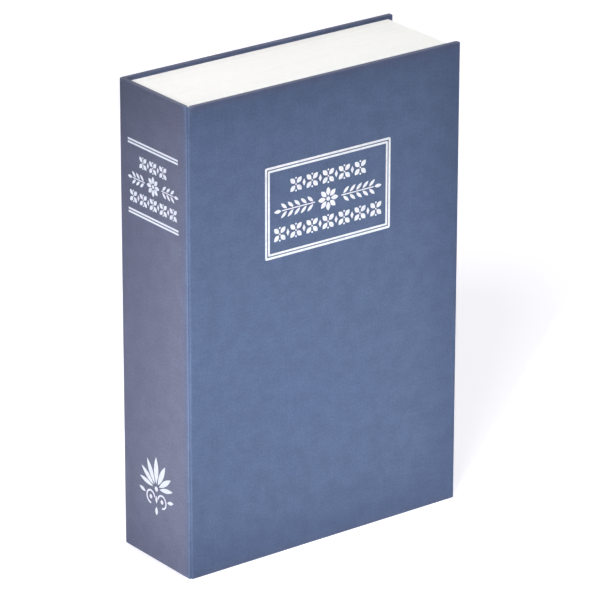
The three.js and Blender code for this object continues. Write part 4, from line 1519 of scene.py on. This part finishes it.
@dataclass(frozen=True)
class PhotoCamera:
    """The photograph's camera, fitted to the book's corners: angles in degrees, lengths in metres."""

    azimuth: float = -37.025
    elevation: float = 21.783
    roll: float = 0.097
    distance: float = 2.21673
    focal_pixels: float = 4567.5
    frame_pixels: float = 600.0
    sensor: float = 36.0
    aim_height: float = 0.120
    aim_right: float = 0.00439
    aim_up: float = -0.00296
    clip: tuple[float, float] = (0.1, 50.0)

    def build(self) -> Piece:
        """Makes the camera and sets it as the scene's.

        Returns:
            The camera.
        """
        back = direction(self.azimuth, self.elevation)
        azimuth = math.radians(self.azimuth)
        right = Vector((math.cos(azimuth), math.sin(azimuth), 0.0))
        up = back.cross(right)
        aim = Vector((0.0, 0.0, self.aim_height)) + right * self.aim_right + up * self.aim_up
        roll = Matrix.Rotation(math.radians(self.roll), 4, "Z")
        data = bpy.data.cameras.new("photo_camera")
        data.sensor_width = self.sensor
        data.lens = self.sensor * self.focal_pixels / self.frame_pixels
        data.clip_start, data.clip_end = self.clip
        made = bpy.data.objects.new("photo_camera", data)
        turned = Matrix((right, up, back)).transposed().to_4x4() @ roll
        made.matrix_world = Matrix.Translation(aim + back * self.distance) @ turned
        bpy.context.scene.collection.objects.link(made)
        bpy.context.scene.camera = made
        return made


@dataclass(frozen=True)
class SoftBox:
    """A round soft lamp, placed by direction and distance from what it looks at."""

    name: str
    azimuth: float
    elevation: float
    distance: float
    size: float
    level: float
    spread: float = 180.0
    aim: tuple[float, float, float] = (0.0, 0.0, 0.12)

    def build(self) -> None:
        """Makes the lamp, whose level is about the share of white that it gives a surface facing it."""
        way = direction(self.azimuth, self.elevation)
        data = bpy.data.lights.new(self.name, "AREA")
        data.shape = "DISK"
        data.size = self.size
        data.spread = math.radians(self.spread)
        data.energy = self.level * 4 * math.pi * self.distance ** 2
        made = bpy.data.objects.new(self.name, data)
        made.location = Vector(self.aim) + way * self.distance
        made.rotation_euler = way.to_track_quat("Z", "Y").to_euler()
        bpy.context.scene.collection.objects.link(made)


@dataclass(frozen=True)
class Studio:
    """Plain pale floor, white surround and soft lamps."""

    floor_size: float = 12.0
    floor: Colour = screen_colour(232, 232, 234)
    surround: float = 0.3
    glow: Colour = screen_colour(248, 246, 255)
    lift: float = 0.44
    lamps: tuple[SoftBox, ...] = (
        SoftBox("key", -50.0, 40.0, 6.0, 1.2, 0.24),
        SoftBox("gridded_key", -54.0, 20.0, 1.6, 0.24, 0.0074, 13.5, (-0.008, -0.03, 0.08)),
        SoftBox("overhead", 0.0, 82.0, 6.0, 2.5, 0.165),
        SoftBox("behind", 150.0, 35.0, 6.0, 3.0, 0.15),
    )

    def build(self) -> None:
        """Makes the floor, the surround and the lamps."""
        self._make_floor()
        self._make_surround()
        for lamp in self.lamps:
            lamp.build()
        bpy.context.scene.view_settings.view_transform = "Standard"

    def _open(self, owner: Material | bpy.types.World) -> tuple[Sheet, Socket]:
        """Clears the nodes of a material or world.

        Args:
            owner: what the nodes are for.

        Returns:
            Its sheet, and 1 for rays from the camera, from gloss and through glass, and else 0.
        """
        owner.use_nodes = True
        owner.node_tree.nodes.clear()
        sheet = Sheet(owner.node_tree)
        path = sheet.add("ShaderNodeLightPath")
        seen = sheet.math("MAXIMUM", path.outputs["Is Camera Ray"], path.outputs["Is Glossy Ray"])
        return sheet, sheet.math("MAXIMUM", seen, path.outputs["Is Transmission Ray"])

    def _make_floor(self) -> None:
        """Makes the floor, which looks white and keeps the book's shadow."""
        mesh = bmesh.new()
        bmesh.ops.create_grid(mesh, x_segments=2, y_segments=2, size=self.floor_size / 2)
        material = bpy.data.materials.new("pale_floor")
        sheet, seen = self._open(material)
        diffuse = sheet.read("ShaderNodeBsdfDiffuse", {"Color": self.floor})
        strength = sheet.math("MULTIPLY", seen, self.lift)
        glow = sheet.read("ShaderNodeEmission", {"Color": self.glow, "Strength": strength})
        both = sheet.read("ShaderNodeAddShader", {0: diffuse, 1: glow})
        sheet.add("ShaderNodeOutputMaterial", {"Surface": both})
        finish_object("studio_floor", mesh, material)

    def _make_surround(self) -> None:
        """Makes the world: even light, and plain white where it is seen."""
        world = bpy.data.worlds.new("white_surround")
        bpy.context.scene.world = world
        sheet, seen = self._open(world)
        strength = sheet.math("MAXIMUM", seen, self.surround)
        white = sheet.read("ShaderNodeBackground", {"Color": (1.0, 1.0, 1.0, 1.0), "Strength": strength})
        sheet.add("ShaderNodeOutputWorld", {"Surface": white})


class Finishes:
    """All finishes of the safe, each made once."""

    def __init__(self) -> None:
        """Builds every material."""
        self.cloth = BookCloth().material()
        self.foil = FoilPrint().material()
        self.dulled_foil = DulledFoil().material()
        self.pages = PageStock().material()
        self.lining = LiningPaper().material()
        self.board = Greyboard().material()
        self.coat = PowderCoat().material()
        self.brushed = BrushedZinc().material()
        self.zinc = ZincPlate().material()
        self.chrome = LockChrome().material()


@dataclass(frozen=True)
class BookCase:
    """The book's case: cloth, crease, boards, linings and foil."""

    sizes: BookSizes
    boards: tuple[str, ...] = ("spine_board", "back_board", "front_board")
    linings: tuple[str, ...] = ("spine_lining", "back_lining", "front_lining")

    def build(self, finishes: Finishes) -> None:
        """Models the cloth and foil, and dresses the boards and linings.

        Args:
            finishes: all finishes of the safe.
        """
        CaseCloth(self.sizes).build(finishes.cloth)
        FrontCloth(self.sizes).build(finishes.cloth)
        CreaseCloth(self.sizes).build(finishes.cloth)
        CoverStamp(self.sizes).build(finishes.foil)
        SpineStamp(self.sizes).build(finishes.dulled_foil)
        dress(self.boards, finishes.board)
        dress(self.linings, finishes.lining)


@dataclass(frozen=True)
class PageBlock:
    """The moulded page block round the box."""

    sides: tuple[str, ...] = ("page_face", "page_head", "page_tail", "page_fore_edge", "page_spine_edge")

    def build(self, finishes: Finishes) -> None:
        """Dresses the front and the four sides."""
        dress(self.sides, finishes.pages)


@dataclass(frozen=True)
class SteelBox:
    """The steel box with its lid, hinge and frame screws."""

    box: SteelPiece = SteelPiece("box_body", 0.15 * MM)
    lid: SteelPiece = SteelPiece("lid_panel", 0.2 * MM)
    box_leaf: SteelPiece = SteelPiece("box_leaf", 0.08 * MM)
    lid_leaf: SteelPiece = SteelPiece("lid_leaf", 0.08 * MM)
    pin: SteelPiece = SteelPiece("hinge_pin", 0.08 * MM)
    screws: int = 4
    screw_rounding: float = 0.06 * MM

    def build(self, finishes: Finishes) -> None:
        """Finishes the box, its lid, the hinge and the screws.

        Args:
            finishes: all finishes of the safe.
        """
        self.box.build(finishes.coat, "base", "box_steel")
        self.lid.build(finishes.coat, "lid", "box_steel")
        self.box_leaf.build(finishes.brushed, "base", "plated_steel")
        self.lid_leaf.build(finishes.brushed, "lid", "plated_steel")
        self.pin.build(finishes.zinc, "base", "plated_steel")
        for number in range(1, self.screws + 1):
            screw = SteelPiece(f"frame_screw_{number}", self.screw_rounding)
            screw.build(finishes.zinc, "base", "plated_steel")


@dataclass(frozen=True)
class CamLock:
    """The cam lock in the lid."""

    housing: SteelPiece = SteelPiece("lock_housing", 0.12 * MM)
    nut: SteelPiece = SteelPiece("lock_nut", 0.12 * MM)
    plug: SteelPiece = SteelPiece("lock_plug", 0.08 * MM)
    cam: SteelPiece = SteelPiece("lock_cam", 0.12 * MM)
    washer: SteelPiece = SteelPiece("cam_washer", 0.06 * MM)
    screw: SteelPiece = SteelPiece("cam_screw", 0.06 * MM)

    def build(self, finishes: Finishes) -> None:
        """Finishes the housing, nut, plug, cam, washer and screw.

        Args:
            finishes: all finishes of the safe.
        """
        self.housing.build(finishes.chrome, "lid", "lock_chrome")
        self.nut.build(finishes.zinc, "lid", "plated_steel")
        self.plug.build(finishes.chrome, "lock", "lock_chrome")
        for piece in (self.cam, self.washer, self.screw):
            piece.build(finishes.zinc, "lock", "plated_steel")


def main() -> None:
    """Builds the scene in order: camera, case, page block, box, lock and studio."""
    logging.basicConfig(level=logging.INFO, format="%(message)s")
    PhotoCamera().build()
    sizes = BookSizes.from_frame()
    finishes = Finishes()
    BookCase(sizes).build(finishes)
    PageBlock().build(finishes)
    SteelBox().build(finishes)
    CamLock().build(finishes)
    Studio().build()


if __name__ == "__main__":
    main()
